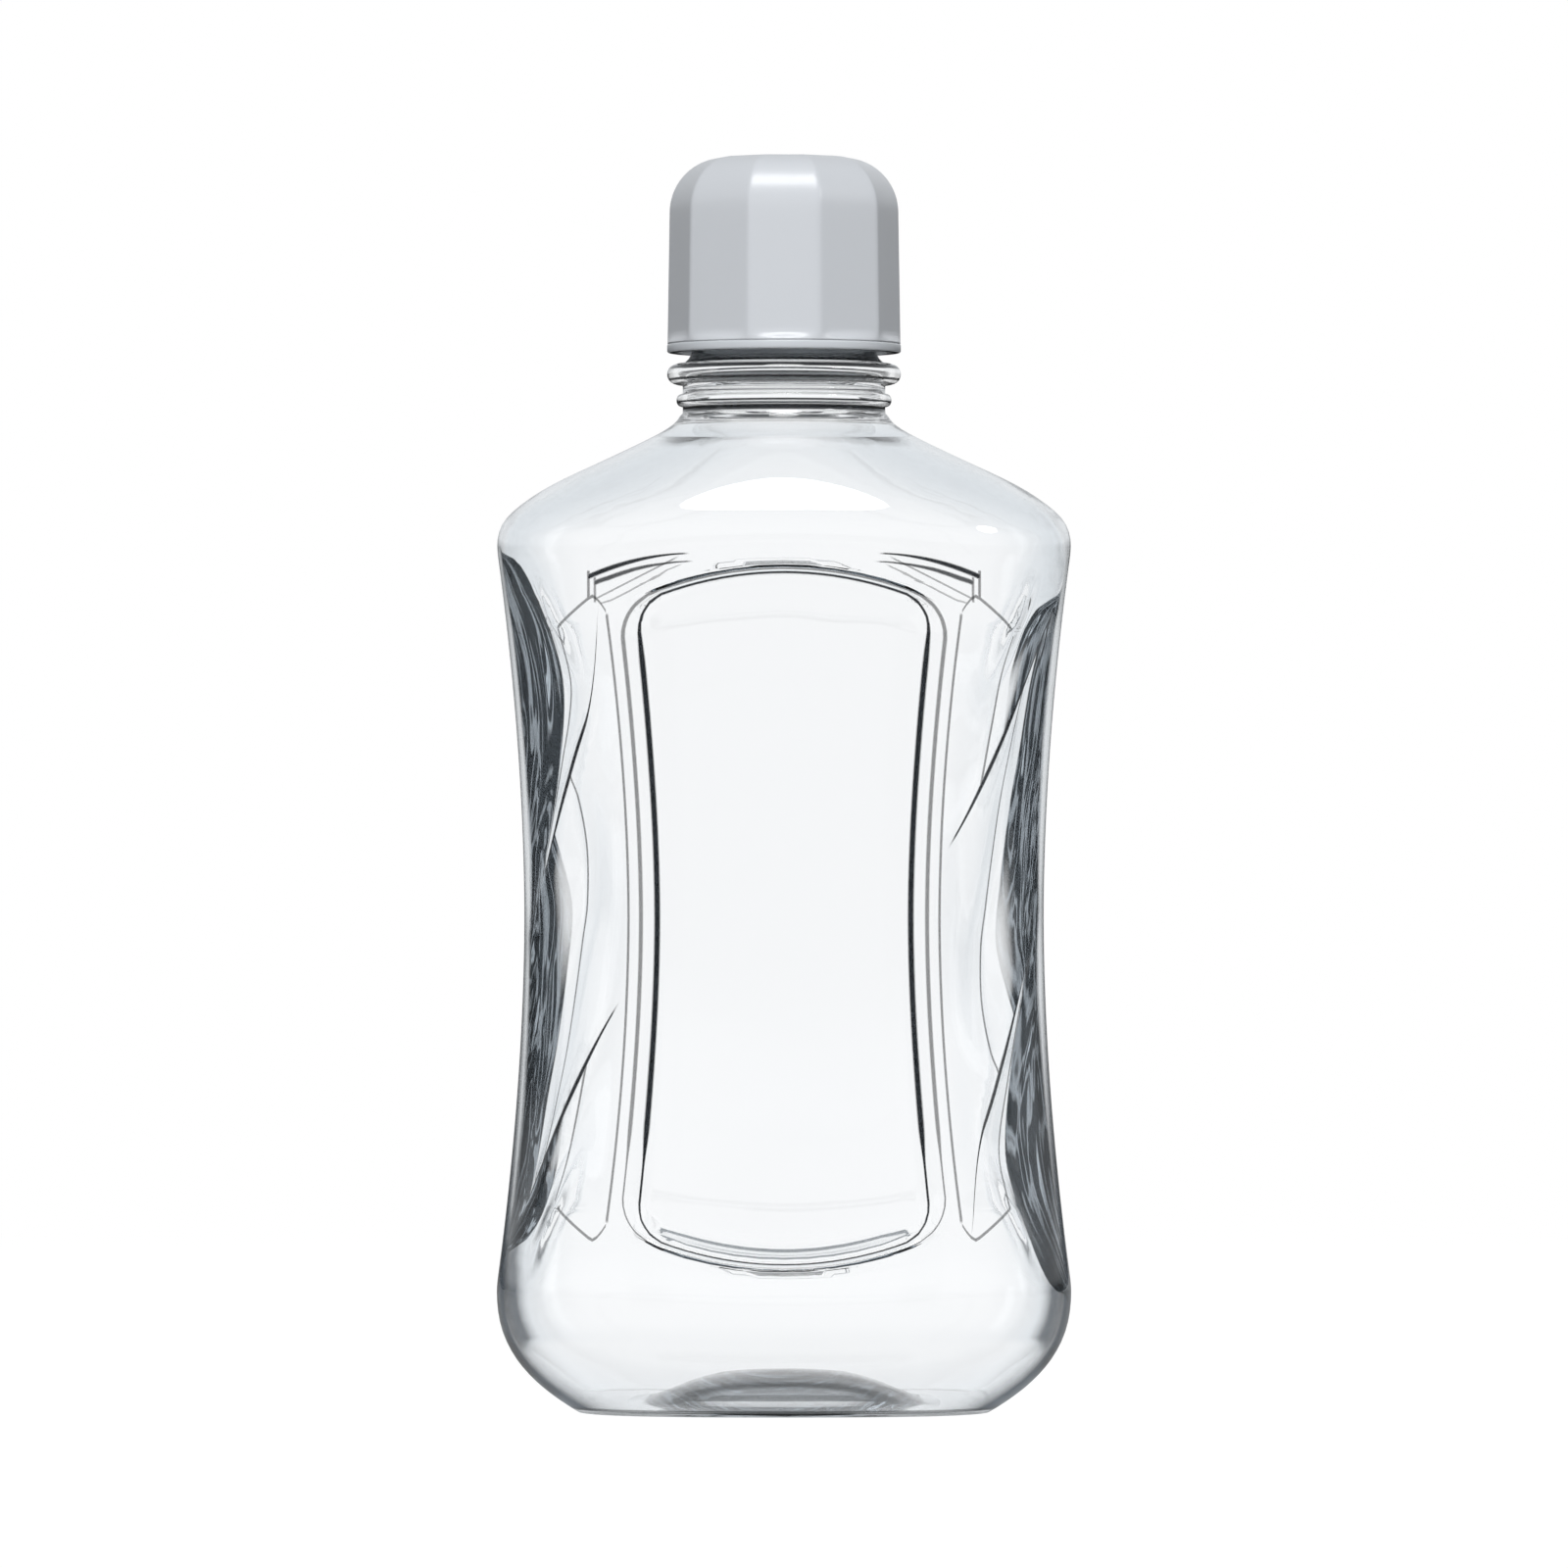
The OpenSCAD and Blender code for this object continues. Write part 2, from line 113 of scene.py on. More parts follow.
# Clear plastic: its shadow, what it absorbs in a metre, and size and depth of its waves
SHADOW_TINT, ABSORBED, ABSORB_DENSITY = (0.93, 0.945, 0.955, 1), (0.5, 0.6, 0.68, 1), 14.0
WAVE_SCALE, WAVE_STRENGTH, WAVE_DEPTH = 38.0, 0.25, 0.0006
GRAIN_STRENGTH, COAT_ROUGHNESS, PLASTIC_IOR = 0.3, 0.18, 1.5
# Bands in the surround round the bottle, and distances from its axis between which the floor turns white
WORLD_BANDS, FLOOR_CHANGE = 8.0, (0.2, 0.8)
# Lamps: place, what they look at, size, and whether they show in gloss and through the bottle
LAMPS = {"key": ((-0.22, -1.8, 0.5), (0, 0, 0.14), (0.9, 0.7), False, False),
         "left": ((-1.3, -0.3, 0.5), (0, 0, 0.15), (0.3, 1.2), True, True),
         "right": ((1.3, -0.2, 0.5), (0, 0, 0.15), (0.2, 1.2), True, True),
         "top": ((0, -0.64, 1.32), (0, -0.033, 0.176), (0.68, 0.58), True, False),
         "spark": ((0.91, -0.56, 0.8), (0.038, -0.03, 0.171), (0.24, 0.24), True, False),
         "rear": ((0.5, 1.7, 0.7), (0, 0, 0.14), (0.9, 0.7), False, False)}
RIGHT_SHARE, SENSOR_WIDTH = 0.6, 36.0


def length(name, description, default):
    """A length in metres that the sidebar shows."""
    return FloatProperty(name=name, description=description, default=default, min=0.0,
                         precision=4, subtype="DISTANCE", unit="LENGTH")


def share(name, description, default, most=1.0):
    """A plain number between nothing and its largest useful value."""
    return FloatProperty(name=name, description=description, default=default, min=0.0, max=most, precision=3)


def colour(name, description, default):
    """A colour that the sidebar shows."""
    return FloatVectorProperty(name=name, description=description, default=default, size=3,
                               min=0.0, max=1.0, subtype="COLOR")


def power(name, description, default):
    """A lamp's power in watts."""
    return FloatProperty(name=name, description=description, default=default, min=0.0, unit="POWER")


class BottleSizes(bpy.types.PropertyGroup):
    """Sizes of the bottle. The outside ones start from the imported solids."""

    body_width: length("Body width", "Width at the two widest heights", BOTTLE_HIGH.x - BOTTLE_LOW.x)
    body_depth: length("Body depth", "Depth at the two widest heights", BOTTLE_HIGH.y - BOTTLE_LOW.y)
    neck_top: length("Neck top", "Height of the lip above the foot", BOTTLE_HIGH.z)
    body_height: length("Body height", "Height of the body up to the neck", 0.19)
    waist_in_width: length("Waist, sides", "How far each side is drawn in", 0.0053)
    waist_in_depth: length("Waist, front", "How far the front and back are drawn in", 0.0035)
    foot_width: length("Foot width", "Width of the flat foot", 0.079)
    foot_depth: length("Foot depth", "Depth of the flat foot", 0.047)
    belly_height: length("Belly height", "Height of the lower widest place", 0.024)
    shoulder_rise: length("Shoulder rise", "Height of the shoulder above the upper widest place", 0.0246)
    wall: length("Wall", "Thickness of the body wall", 0.0012)
    base_wall: length("Base wall", "How much thicker the wall is at the foot", 0.0003)
    push_up: length("Push-up", "How far the middle of the base is pushed up", 0.0055)
    frame_width: length("Frame width", "Width of the frame round a panel at the waist", 0.0588)
    frame_flare: length("Frame flare", "How much wider the frame is at its ends, on each side", 0.004)
    frame_rim: length("Frame rim", "Flat rim between frame edge and bevel", 0.0024)
    bevel_width: length("Bevel width", "Bevel at the panel's sides", 0.0031)
    bevel_height: length("Bevel height", "Bevel at the panel's ends", 0.0013)
    panel_corner: length("Panel corner", "Radius of the panel's corners", 0.005)
    panel_depth: length("Panel depth", "Depth of the panel below its frame", 0.0012)
    panel_arch: length("Panel arch", "Rise of the arched ends", 0.0085)
    grip_depth: length("Grip depth", "Deepest point of a grip scoop", 0.0036)
    grip_end_gap: length("Grip end gap", "Height between grips and widest places", 0.00395)
    collar_radius: length("Collar radius", "Neck between bead and shoulder", 0.0194)
    neck_radius: length("Neck radius", "Neck wall under the thread", 0.0177)
    bore_radius: length("Bore radius", "Bore of the neck", 0.0159)
    thread_lead: length("Thread lead", "Height that one thread climbs in a turn", THREAD_LEAD)
    thread_height: length("Thread height", "How far the thread stands out", 0.0009)


class CapSizes(bpy.types.PropertyGroup):
    """Sizes of the cap's shell and its cup."""

    sides: IntProperty(name="Facets", description="Facets round the cap", default=10, min=6, max=20)
    corner_radius: length("Corner radius", "Shell at its corners", (SHELL_HIGH.x - SHELL_LOW.x) / 2)
    draft: length("Draft", "How much narrower the shell is below its rounding", 0.0004)
    rounding: length("Top rounding", "Radius of the rounding at the top", 0.0105)
    shell_wall: length("Shell wall", "Wall of the shell", 0.0011)
    cup_wall: length("Cup wall", "Wall of the cup", 0.0011)
    edge_sharpness: FloatProperty(name="Edge sharpness", description="Higher makes the corners crisper",
                                  default=230.0, min=40.0, max=800.0)


class FinishLooks(bpy.types.PropertyGroup):
    """Colours and finishes."""

    wall_colour: colour("Wall colour", "Clear plastic seen straight on", (0.985, 0.99, 0.995))
    wall_shade_colour: colour("Wall shade colour", "Clear plastic turned half away", (0.75, 0.79, 0.822))
    # Painted shade: near black for the clear wall seen nearly edge on, a painted dark outline
    painted_edge_shade_colour: colour("Wall edge colour", "Clear plastic seen nearly edge on", (0.01, 0.014, 0.019))
    wall_roughness: share("Wall roughness", "Roughness of the clear wall", 0.02)
    cap_colour: colour("Cap colour", "Cool grey of the cap", (0.6, 0.625, 0.66))
    cap_roughness: share("Cap roughness", "Roughness of the cap's satin finish", 0.34)
    cup_colour: colour("Cup colour", "Grey of the measuring cup", (0.6, 0.63, 0.665))
    seal_colour: colour("Seal colour", "Soft pale grey of the seal", (0.74, 0.755, 0.77))


class StudioLooks(bpy.types.PropertyGroup):
    """Camera, floor and lights."""

    camera_distance: length("Camera distance", "From the axis of the bottle", 2.0)
    camera_height: length("Camera height", "Above the floor", 0.12)
    view_width: length("View width", "Width of the picture at the bottle", 0.3005)
    floor_radius: length("Floor radius", "Radius of the round floor", 1.3)
    floor_glow: share("Floor glow", "Share of the floor's white that is its own", 0.76)
    world_fill: share("World fill", "Strength of the plain light from all round", 0.07, 4.0)
    key_power: power("Key power", "Large front light", 17.5)
    rear_power: power("Rear power", "Light on the far side", 14.0)
    side_power: power("Side power", "Side lights", 0.6)
    spark_power: power("Spark power", "Small bright light at the right shoulder", 1.4)
    top_power: power("Top power", "Overhead light", 9.5)


def smooth(values):
    """Smooth step: a share of the way turned into one with a gentle start and end."""
    q = np.clip(values, 0.0, 1.0)
    return q * q * (3.0 - 2.0 * q)


def degrees(first, last, count):
    """Angles from the first to the last, which are given in degrees."""
    return np.linspace(first, last, count) * math.pi / 180


def bend_points(r, z, radius, first, last, count):
    """Radii and heights of a profile's bend round the centre r, z."""
    angle = degrees(first, last, count)
    return r + radius * np.cos(angle), z + radius * np.sin(angle)


def points_at(x, y, z):
    """Points of a grid from coordinates that may lack its rows or its columns."""
    return np.stack(np.broadcast_arrays(x, y, z), -1)


def points_round(radius, theta, z):
    """Points at a radius and an angle round the axis."""
    return points_at(radius * np.cos(theta), radius * np.sin(theta), z)


def curve_through(values, table):
    """Cubic curve through a table's points, with the harmonic mean of the slopes on both sides at each point
    and nothing where these differ in sign."""
    xs, ys = np.array(table, float).T
    step = np.diff(xs)
    slope = np.diff(ys) / step
    product, total = slope[1:] * slope[:-1], slope[1:] + slope[:-1]
    mid = np.where(product > 0, 2.0 * slope[1:] * slope[:-1] / (total + 1e-12), 0.0)
    ends = np.concatenate([[slope[0]], mid, [slope[-1]]])
    x = np.clip(values, xs[0], xs[-1])
    i = np.clip(np.searchsorted(xs, x, side="right") - 1, 0, len(step) - 1)
    t = (x - xs[i]) / step[i]
    h = step[i]
    return ((1 + 2 * t) * (1 - t) ** 2 * ys[i] + t * (1 - t) ** 2 * h * ends[i]
            + t * t * (3 - 2 * t) * ys[i + 1] + t * t * (t - 1) * h * ends[i + 1])


class BodyForm:
    """The bottle's outline and moulded forms as functions of height and place."""

    def __init__(self, s):
        self.s = s
        self.chest = s.body_height - s.shoulder_rise
        self.waist = (s.belly_height + self.chest) / 2
        self.reach = self.chest - self.waist
        self.row_step = (self.reach - s.grip_end_gap) / GRIP_ROWS
        self.panel_half = PANEL_ROWS * self.row_step
        self.crease_rise = SIDE_COLUMNS / 2 * self.row_step
        self.crease_pitch = CREASE_PITCH_ROWS * self.row_step
        self.crease_foot = self.waist + CREASE_FOOT_ROWS * self.row_step
        self.mirror = (self.crease_foot + self.waist + CREASE_MIRROR_ROWS * self.row_step) / 2
        self.neck_base = s.collar_radius + s.wall / 4

    def outline(self, z, foot, widest, waist, shares):
        """Half width at a height: a power curve from foot to belly, another from the waist to both widest
        places, and the shoulder's curve above, averaged over five heights close by."""
        s = self.s
        total = 0.0
        for shift in (-0.0016, -0.0008, 0.0, 0.0008, 0.0016):
            y = np.where(z > 0.006, z + shift * np.clip((z - 0.006) / 0.006, 0, 1), z)
            heel = foot + (widest - foot) * (1 - np.clip(1 - y / s.belly_height, 0, 1) ** HEEL_POWER)
            reach = np.abs(y - self.waist) / self.reach
            side = waist + (widest - waist) * reach ** WAIST_POWER
            up = curve_through((y - self.chest) / s.shoulder_rise, shares)
            top = self.neck_base + (widest - self.neck_base) * up
            total = total + 0.2 * np.where(y < s.belly_height, heel, np.where(y < self.chest, side, top))
        return total

    def half_width(self, z):
        s, half = self.s, self.s.body_width / 2
        return self.outline(z, s.foot_width / 2, half, half - s.waist_in_width, SHOULDER_WIDTH)

    def half_depth(self, z):
        s, half = self.s, self.s.body_depth / 2
        return self.outline(z, s.foot_depth / 2, half, half - s.waist_in_depth, SHOULDER_DEPTH)

    def square(self, z):
        """Exponent of the cross-section: the body's own, and down to a circle's at the neck."""
        up = curve_through((z - self.chest) / self.s.shoulder_rise, SHOULDER_SQUARE)
        return np.where(z < self.chest, BODY_SQUARE, up)

    def frame_half(self, z):
        """Half width of the frame: a power curve along the panel, in step with the outline beyond it."""
        s = self.s
        reach = np.abs(z - self.waist)
        inside = s.frame_width / 2 + s.frame_flare * (reach / self.panel_half) ** WAIST_POWER
        end = self.waist + np.sign(z - self.waist) * self.panel_half
        beyond = (s.frame_width / 2 + s.frame_flare) * self.half_width(z) / self.half_width(end)
        return np.where(reach < self.panel_half, inside, beyond)

    def arch(self, z):
        """Rise of a row in the middle of a panel, fading beyond the panel's ends."""
        fade = curve_through(np.abs(z - self.waist) / self.panel_half, ARCH_FADE)
        return np.sign(z - self.waist) * self.s.panel_arch * fade

    def panel_gap(self, z, x):
        """Distance from the panel's inner outline, a rectangle with round corners, negative inside, and
        the bevel's width there."""
        s = self.s
        across = x - (self.frame_half(z) - s.frame_rim - s.bevel_width) + s.panel_corner
        along = np.abs(z - self.waist) - self.panel_half + s.panel_corner
        corner = np.hypot(np.maximum(across, 0), np.maximum(along, 0))
        gap = corner + np.minimum(np.maximum(across, along), 0) - s.panel_corner
        turn = np.arctan2(np.maximum(along, 0), np.maximum(across, 1e-9))
        bevel = s.bevel_width * np.cos(turn) ** 2 + s.bevel_height * np.sin(turn) ** 2
        return gap, bevel

    def panel_cut(self, z, x):
        """Depth of the panel: full inside its inner outline and a straight bevel out to its border."""
        gap, bevel = self.panel_gap(z, x)
        steep = 0.35 * smooth(1 - gap / 0.0007) + 0.65 * np.clip(1 - gap / bevel, 0, 1)
        return self.s.panel_depth * np.where(gap < 0, 1.0, steep)

    def own_height(self, c, z):
        """Height on a front left side that a place stands for. The other sides are turned over."""
        return np.where(c < 0, 2 * self.mirror - z, z)

    def turn(self, c, z):
        """Creases passed: nothing at the upper one, minus one at the lower one. They climb from the side's
        middle to the frame, where the upper one bends upright."""
        u, h = np.abs(c), self.own_height(c, z)
        bend = 0.45 * np.maximum(u - 0.8, 0) ** 2 * smooth((h - 0.095) / 0.03)
        return (h - self.crease_foot - self.crease_rise * u - bend) / self.crease_pitch

    def end_gap(self, c, z):
        """Distance beyond the slanted ends of the ramps."""
        u = np.abs(c)
        slant = 0.0545 + 0.027 * (u - 0.7) - 0.0049 * (np.maximum(u - 0.93, 0) / 0.07) ** 1.5
        return np.abs(z - self.waist) - slant

    def scoop_lines(self, c, z, tables):
        """Distance from each of three lines on a side, positive towards its middle."""
        u, h = np.abs(c), self.own_height(c, z)
        return np.stack([(curve_through(h, table) - u) * SIDE_ARC for table in tables], -1)

    def scoop(self, c, z):
        """Depth of a grip: a ramp from the frame down to the deepest line, a floor, and a wall up to the
        side's smooth strip, shallower at the creases and fading at the ends."""
        u, turn = np.abs(c) + 0 * z, self.turn(c, z)
        which = np.clip(np.floor(turn + 1e-4), -2, 0)
        share_up = np.clip(turn - which, 0, 1)
        pick = (-which).astype(int)[..., None]
        deep, foot = (np.take_along_axis(self.scoop_lines(c, z, tables), pick, -1)[..., 0] / SIDE_ARC + u
                      for tables in (DEEP_LINES, FOOT_LINES))
        foot = np.minimum(foot, deep - 0.01)
        ramp = np.clip((1 - u) / (1 - deep), 0, 1) ** 1.1
        floor = 0.94 + 0.06 * np.clip((u - foot) / (deep - foot), 0, 1)
        wall = 0.94 * np.clip((u - STRIP * 0.6) / np.maximum(foot - STRIP * 0.6, 0.02), 0, 1)
        across = np.where(u > deep, ramp, np.where(u > foot, floor, wall))
        along = 0.5 + 0.5 * (1 - (2 * share_up - 1) ** 2)
        end = 0.0675 - 0.0115 * smooth((u - 0.5) / 0.24) + 0.0048 * smooth((u - 0.74) / 0.18)
        fade = smooth((end - np.abs(z - self.waist)) / 0.015)
        return self.s.grip_depth * across * along * fade


def section_points(w, d, n, angle, side, inset, z):
    """Points of a rounded rectangle |x/w|^n + |y/d|^n = 1 at an angle, moved in along its own normal."""
    ca, sa = np.clip(np.cos(angle), 0, 1), np.clip(np.sin(angle), 0, 1)
    nx, ny = ca ** (2 - 2 / n) / w, sa ** (2 - 2 / n) / d
    move = inset / np.hypot(nx, ny)
    x = w * ca ** (2 / n) - move * nx
    y = side * (d * sa ** (2 / n) - move * ny)
    return points_at(x, y, z)


def body_rows(form):
    """Height and share of the foot's size for each row of the outer skin: base, heel, waist, shoulder."""
    s = form.s
    base = [(0.0, v) for v in BASE_ROWS]
    heel = [(s.belly_height * v, 1.0) for v in HEEL_ROWS]
    last = int(round(form.reach / form.row_step))
    steps = [float(k) for k in range(-last, last + 1)]
    fine = [side * (PANEL_ROWS + v / 4) for side in (-1, 1) for v in range(-6, 15)]
    grips = [(form.waist + k * form.row_step, 1.0) for k in sorted(set(steps + fine))]
    nearing = 1 - (1 - np.arange(1, 23) / 22) ** 1.25
    return base + heel + grips + [(form.chest + s.shoulder_rise * v, 1.0) for v in nearing]


def body_grid(form):
    """Points of the outer skin, fields for its painted dark lines and painted shade, and its moulded depths.
    A half ring runs from the middle of a panel over its frame, round a side and on to the other panel's
    middle; the other half is the same, turned half round. Rows bend where they cross a panel, so that its
    ends are arched."""
    s = form.s
    z, size = np.array(body_rows(form)).T[..., None]
    w, d, n = form.half_width(z) * size, form.half_depth(z) * size, form.square(z)
    w, d = np.where(size < 1, s.foot_width / 2 * size, w), np.where(size < 1, s.foot_depth / 2 * size, d)
    lift = s.push_up * curve_through(size, PUSH_UP)
    edge = form.frame_half(z) * size
    outer = edge - s.frame_rim * size
    inner = outer - s.bevel_width * size
    t_in, t_bevel, t_rim = np.arange(12) / 12, np.arange(6) / 6, np.arange(3) / 3
    x = np.concatenate([inner * t_in, inner + (outer - inner) * t_bevel, outer + (edge - outer) * t_rim], 1)
    whole = (size >= 1) * 1.0
    bend = form.arch(z) * size * (1 - (x / edge) ** 2)
    angle = np.arccos(np.clip(x / w, 0, 1) ** (n / 2))
    cut = form.panel_cut(z, x) * whole
    c = np.arange(SIDE_COLUMNS + 1)[None, :] / (SIDE_COLUMNS / 2) - 1
    side_angle = np.abs(c) * np.arccos((edge / w) ** (n / 2))
    grip = softened(form.scoop(c, z), 3) * whole
    front, back = (section_points(w, d, n, angle, way, cut, z + lift + bend) for way in (-1, 1))
    side = section_points(w, d, n, side_angle, np.where(c < 0, -1, 1), grip, z + lift)
    gap, bevel = form.panel_gap(z, x)
    none, u, far = 1 - whole, np.abs(c), x - edge - 0.01
    fields = {"panel_place": (points_at(gap + none, gap - bevel + none, x - edge - none),
                              points_at(1, 1, (1 - u) * SIDE_ARC + none)),
              "grip_place": (points_at(1 + (edge - x) / SIDE_ARC + none, 0, 0),
                             points_at(u + 9 * none, form.turn(c, z), form.end_gap(c, z))),
              "grip_deep": (points_at(far, far, far), form.scoop_lines(c, z, DEEP_LINES)),
              "grip_foot": (points_at(far, far, far), form.scoop_lines(c, z, FOOT_LINES))}

    def half_ring(front, side, back):
        return np.concatenate([front, side, back[:, :0:-1]], 1)

    half = half_ring(front, side, back)
    points = np.concatenate([half, half * np.array([-1.0, -1.0, 1.0])], 1)
    fields = {key: np.tile(half_ring(panel, side, panel), (1, 2, 1)) for key, (panel, side) in fields.items()}
    return points, fields, np.tile(half_ring(cut, grip, cut), (1, 2))


def neck_profile(form):
    """Radii and heights of the neck from the shoulder up: collar, small ring, bead, wall under the thread and
    rounded lip. The rings are half ellipses laid on the collar."""
    s, base, collar = form.s, form.s.body_height, form.s.collar_radius
    t = degrees(-90, 90, 13)
    rings = [(collar + out * np.cos(t) ** 0.7, base + height + thick / 2 * np.sin(t))
             for height, thick, out in ((0.0035, 0.0024, 0.0012), (0.0085, 0.0041, 0.003))]
    wall = np.linspace(base + 0.013, s.neck_top - 0.0012, 34)
    return np.concatenate([
        ([collar + 0.00018, collar + 0.00005, collar], [base + 0.0004, base + 0.001, base + 0.0016]),
        *rings,
        ([collar - 0.0004, collar - 0.0011, s.neck_radius + 0.0002],
         [base + 0.0108, base + 0.0114, base + 0.0121]),
        (np.full(len(wall), s.neck_radius), wall),
        bend_points(s.neck_radius - 0.0007, s.neck_top - 0.0007, 0.0007, 22.5, 90, 4)], 1)


def thread_ridge(theta, z, low, high, lead, height, starts=2):
    """Height of a screw thread at the angle theta: a ridge with sloping flanks that climbs by the lead in
    each turn, in so many starts, and fades out at both ends."""
    pitch = lead / starts
    place = (z - low - lead * theta / (2 * math.pi)) / pitch
    off = np.abs(place - np.round(place)) * pitch
    ridge = np.clip((THREAD_HALF - off) / THREAD_FLANK, 0, 1)
    return height * smooth(ridge) * smooth((z - low) / 0.0015) * smooth((high - z) / 0.0015)


def neck_grid(form, ring):
    """Grid of the neck's outside over the angles of the shoulder's last ring, with its two-start thread."""
    s = form.s
    r, z = neck_profile(form)
    theta, z = np.arctan2(ring[:, 1], ring[:, 0]), z[:, None]
    thread = (s.body_height + 0.0165, s.neck_top - 0.0022, s.thread_lead, s.thread_height)
    circle = points_round(r[:, None] + thread_ridge(theta, z, *thread), theta, z)
    share_round = smooth((z - s.body_height) / 0.001)[..., None]
    return points_at(ring[:, 0], ring[:, 1], z) * (1 - share_round) + circle * share_round


def grid_normals(points):
    """Outward unit normals of a closed ring grid, from differences along its rows and columns."""
    along = np.roll(points, -1, 1) - np.roll(points, 1, 1)
    up = np.gradient(points, axis=0)
    normal = np.cross(along, up)
    return normal / np.maximum(np.linalg.norm(normal, axis=-1, keepdims=True), 1e-12)


def softened(values, rounds):
    """Grid averaged with its neighbours up and down and round about, so many times."""
    for _ in range(rounds):
        values = (values + np.roll(values, 1, 1) + np.roll(values, -1, 1)) / 3
        values[1:-1] = (values[1:-1] + values[2:] + values[:-2]) / 3
    return values


def widened(values, reach):
    """Largest value within so many neighbours up, down and round about."""
    for _ in range(reach):
        values = np.maximum(values, np.maximum(np.roll(values, 1, 1), np.roll(values, -1, 1)))
        values[1:-1] = np.maximum(values[1:-1], np.maximum(values[2:], values[:-2]))
    return values


def inner_grid(form, outer, depths):
    """Grid of the inside: the outer skin with its moulded depths widened and softened, moved in by the wall,
    then a smooth run into the bore."""
    s = form.s
    normal = grid_normals(softened(outer.copy(), 2))
    extra = softened(widened(depths.copy(), 1), 1) - depths
    wall = s.wall + s.base_wall * smooth((0.016 - outer[..., 2]) / 0.014)
    flat = normal * np.array([1.0, 1.0, 0.0])
    flat = flat / np.maximum(np.linalg.norm(flat, axis=-1, keepdims=True), 1e-9)
    skin = outer - flat * np.maximum(extra, 0)[..., None] - normal * wall[..., None]
    keep = np.flatnonzero(outer[:, 0, 2] < s.body_height - 0.0014)
    rows = np.concatenate([keep[:24], keep[24::2]])
    outer, skin = outer[:, ::2], skin[:, ::2]
    skin = skin[rows]
    last = skin[-1]
    theta = np.arctan2(outer[-1, :, 1], outer[-1, :, 0])
    ring_r, ring_z = neck_profile(form)
    run_top = s.body_height + 0.0012
    heights = np.concatenate([np.arange(run_top, s.body_height + 0.0145, 0.0005),
                              np.linspace(s.body_height + 0.0155, s.neck_top - 0.0006, 5)])
    near = [np.interp(heights + shift, ring_z, ring_r) for shift in (-0.0004, -0.0002, 0.0, 0.0002, 0.0004)]
    radius = np.maximum(np.mean(near, 0) - (s.neck_radius - s.bore_radius), s.bore_radius)
    bore = points_round(radius[:, None], theta, heights[:, None])
    t = np.linspace(0, 1, 6)[1:-1, None]
    pull = smooth(t)[..., None]
    xy = last[None, :, :2] * (1 - pull) + bore[:1, :, :2] * pull
    z = last[None, :, 2] * (1 - t) ** 2 + (s.body_height - 0.0006) * 2 * t * (1 - t) + run_top * t * t
    run = np.concatenate([xy, z[..., None]], -1)
    a = degrees(30, 90, 3)[:, None]
    lip_r, lip_z = s.bore_radius + 0.0005 * (1 - np.cos(a)), s.neck_top - 0.0005 + 0.0005 * np.sin(a)
    return np.concatenate([skin, run, bore, points_round(lip_r, theta, lip_z)], 0)


def grid_faces(rows, columns, first=0):
    """Triangles of a closed ring grid whose diagonals climb to the right, seen from outside."""
    r = np.arange(rows - 1)[:, None] * columns + first
    i = np.arange(columns)[None, :]
    j = (i + 1) % columns
    a, b, c, d = r + i, r + j, r + columns + j, r + columns + i
    return np.concatenate([np.stack([a, b, c], -1).reshape(-1, 3), np.stack([a, c, d], -1).reshape(-1, 3)])


def halving_faces(first, second, columns):
    """Triangles between a ring and the next one with half as many points, whose indices start as given."""
    j = np.arange(columns // 2)
    a, b, c = first + 2 * j, first + 2 * j + 1, first + (2 * j + 2) % columns
    d, e = second + j, second + (j + 1) % (columns // 2)
    return np.concatenate([np.stack([a, b, d], -1), np.stack([b, c, e], -1), np.stack([b, e, d], -1)])


def fan_faces(pole, first, columns, flip=False):
    """Triangles from a pole to the ring that starts at the index first."""
    i = np.arange(columns)
    faces = np.stack([np.full(columns, pole), first + (i + 1) % columns, first + i], -1)
    return faces[:, ::-1] if flip else faces


def mesh_from(name, points, faces, smooth_shading=True):
    """A mesh object at the origin from point and triangle arrays."""
    mesh = bpy.data.meshes.new(name)
    mesh.vertices.add(len(points))
    mesh.vertices.foreach_set("co", np.ascontiguousarray(points, np.float32).ravel())
    mesh.loops.add(faces.size)
    mesh.loops.foreach_set("vertex_index", np.ascontiguousarray(faces, np.int32).ravel())
    mesh.polygons.add(len(faces))
    mesh.polygons.foreach_set("loop_start", np.arange(0, faces.size, 3, dtype=np.int32))
    mesh.update(calc_edges=True)
    mesh.validate()
    mesh.polygons.foreach_set("use_smooth", np.full(len(mesh.polygons), smooth_shading))
    mesh.update()
    piece = bpy.data.objects.new(name, mesh)
    bpy.context.scene.collection.objects.link(piece)
    return piece


def revolved(name, radii, heights, columns, radial):
    """A closed profile of radii and heights turned round the axis; radial adds to each point's radius."""
    theta = np.arange(columns)[None, :] * 2 * math.pi / columns
    r = radii[:, None] + 0 * theta
    z = heights[:, None] + 0 * theta
    r = r + radial(theta, z, r)
    faces = grid_faces(len(radii) + 1, columns) % (len(radii) * columns)
    return mesh_from(name, points_round(r, theta, z).reshape(-1, 3), faces)


def node(tree, kind, inputs=None, **settings):
    """A shader node with its settings, and with numbers, colours or what other nodes give on its inputs."""
    made = tree.nodes.new(kind)
    for key, value in settings.items():
        setattr(made, key, value)
    for slot, value in (inputs or {}).items():
        value = value.outputs[0] if isinstance(value, bpy.types.Node) else getattr(value, "socket", value)
        if isinstance(value, bpy.types.NodeSocket):
            tree.links.new(value, made.inputs[slot])
        else:
            made.inputs[slot].default_value = value
    return made


def joining(operation):
    """A method that adds a Math node for a value and for what is given beside it."""
    return lambda value, *others: value.math(operation, *others)


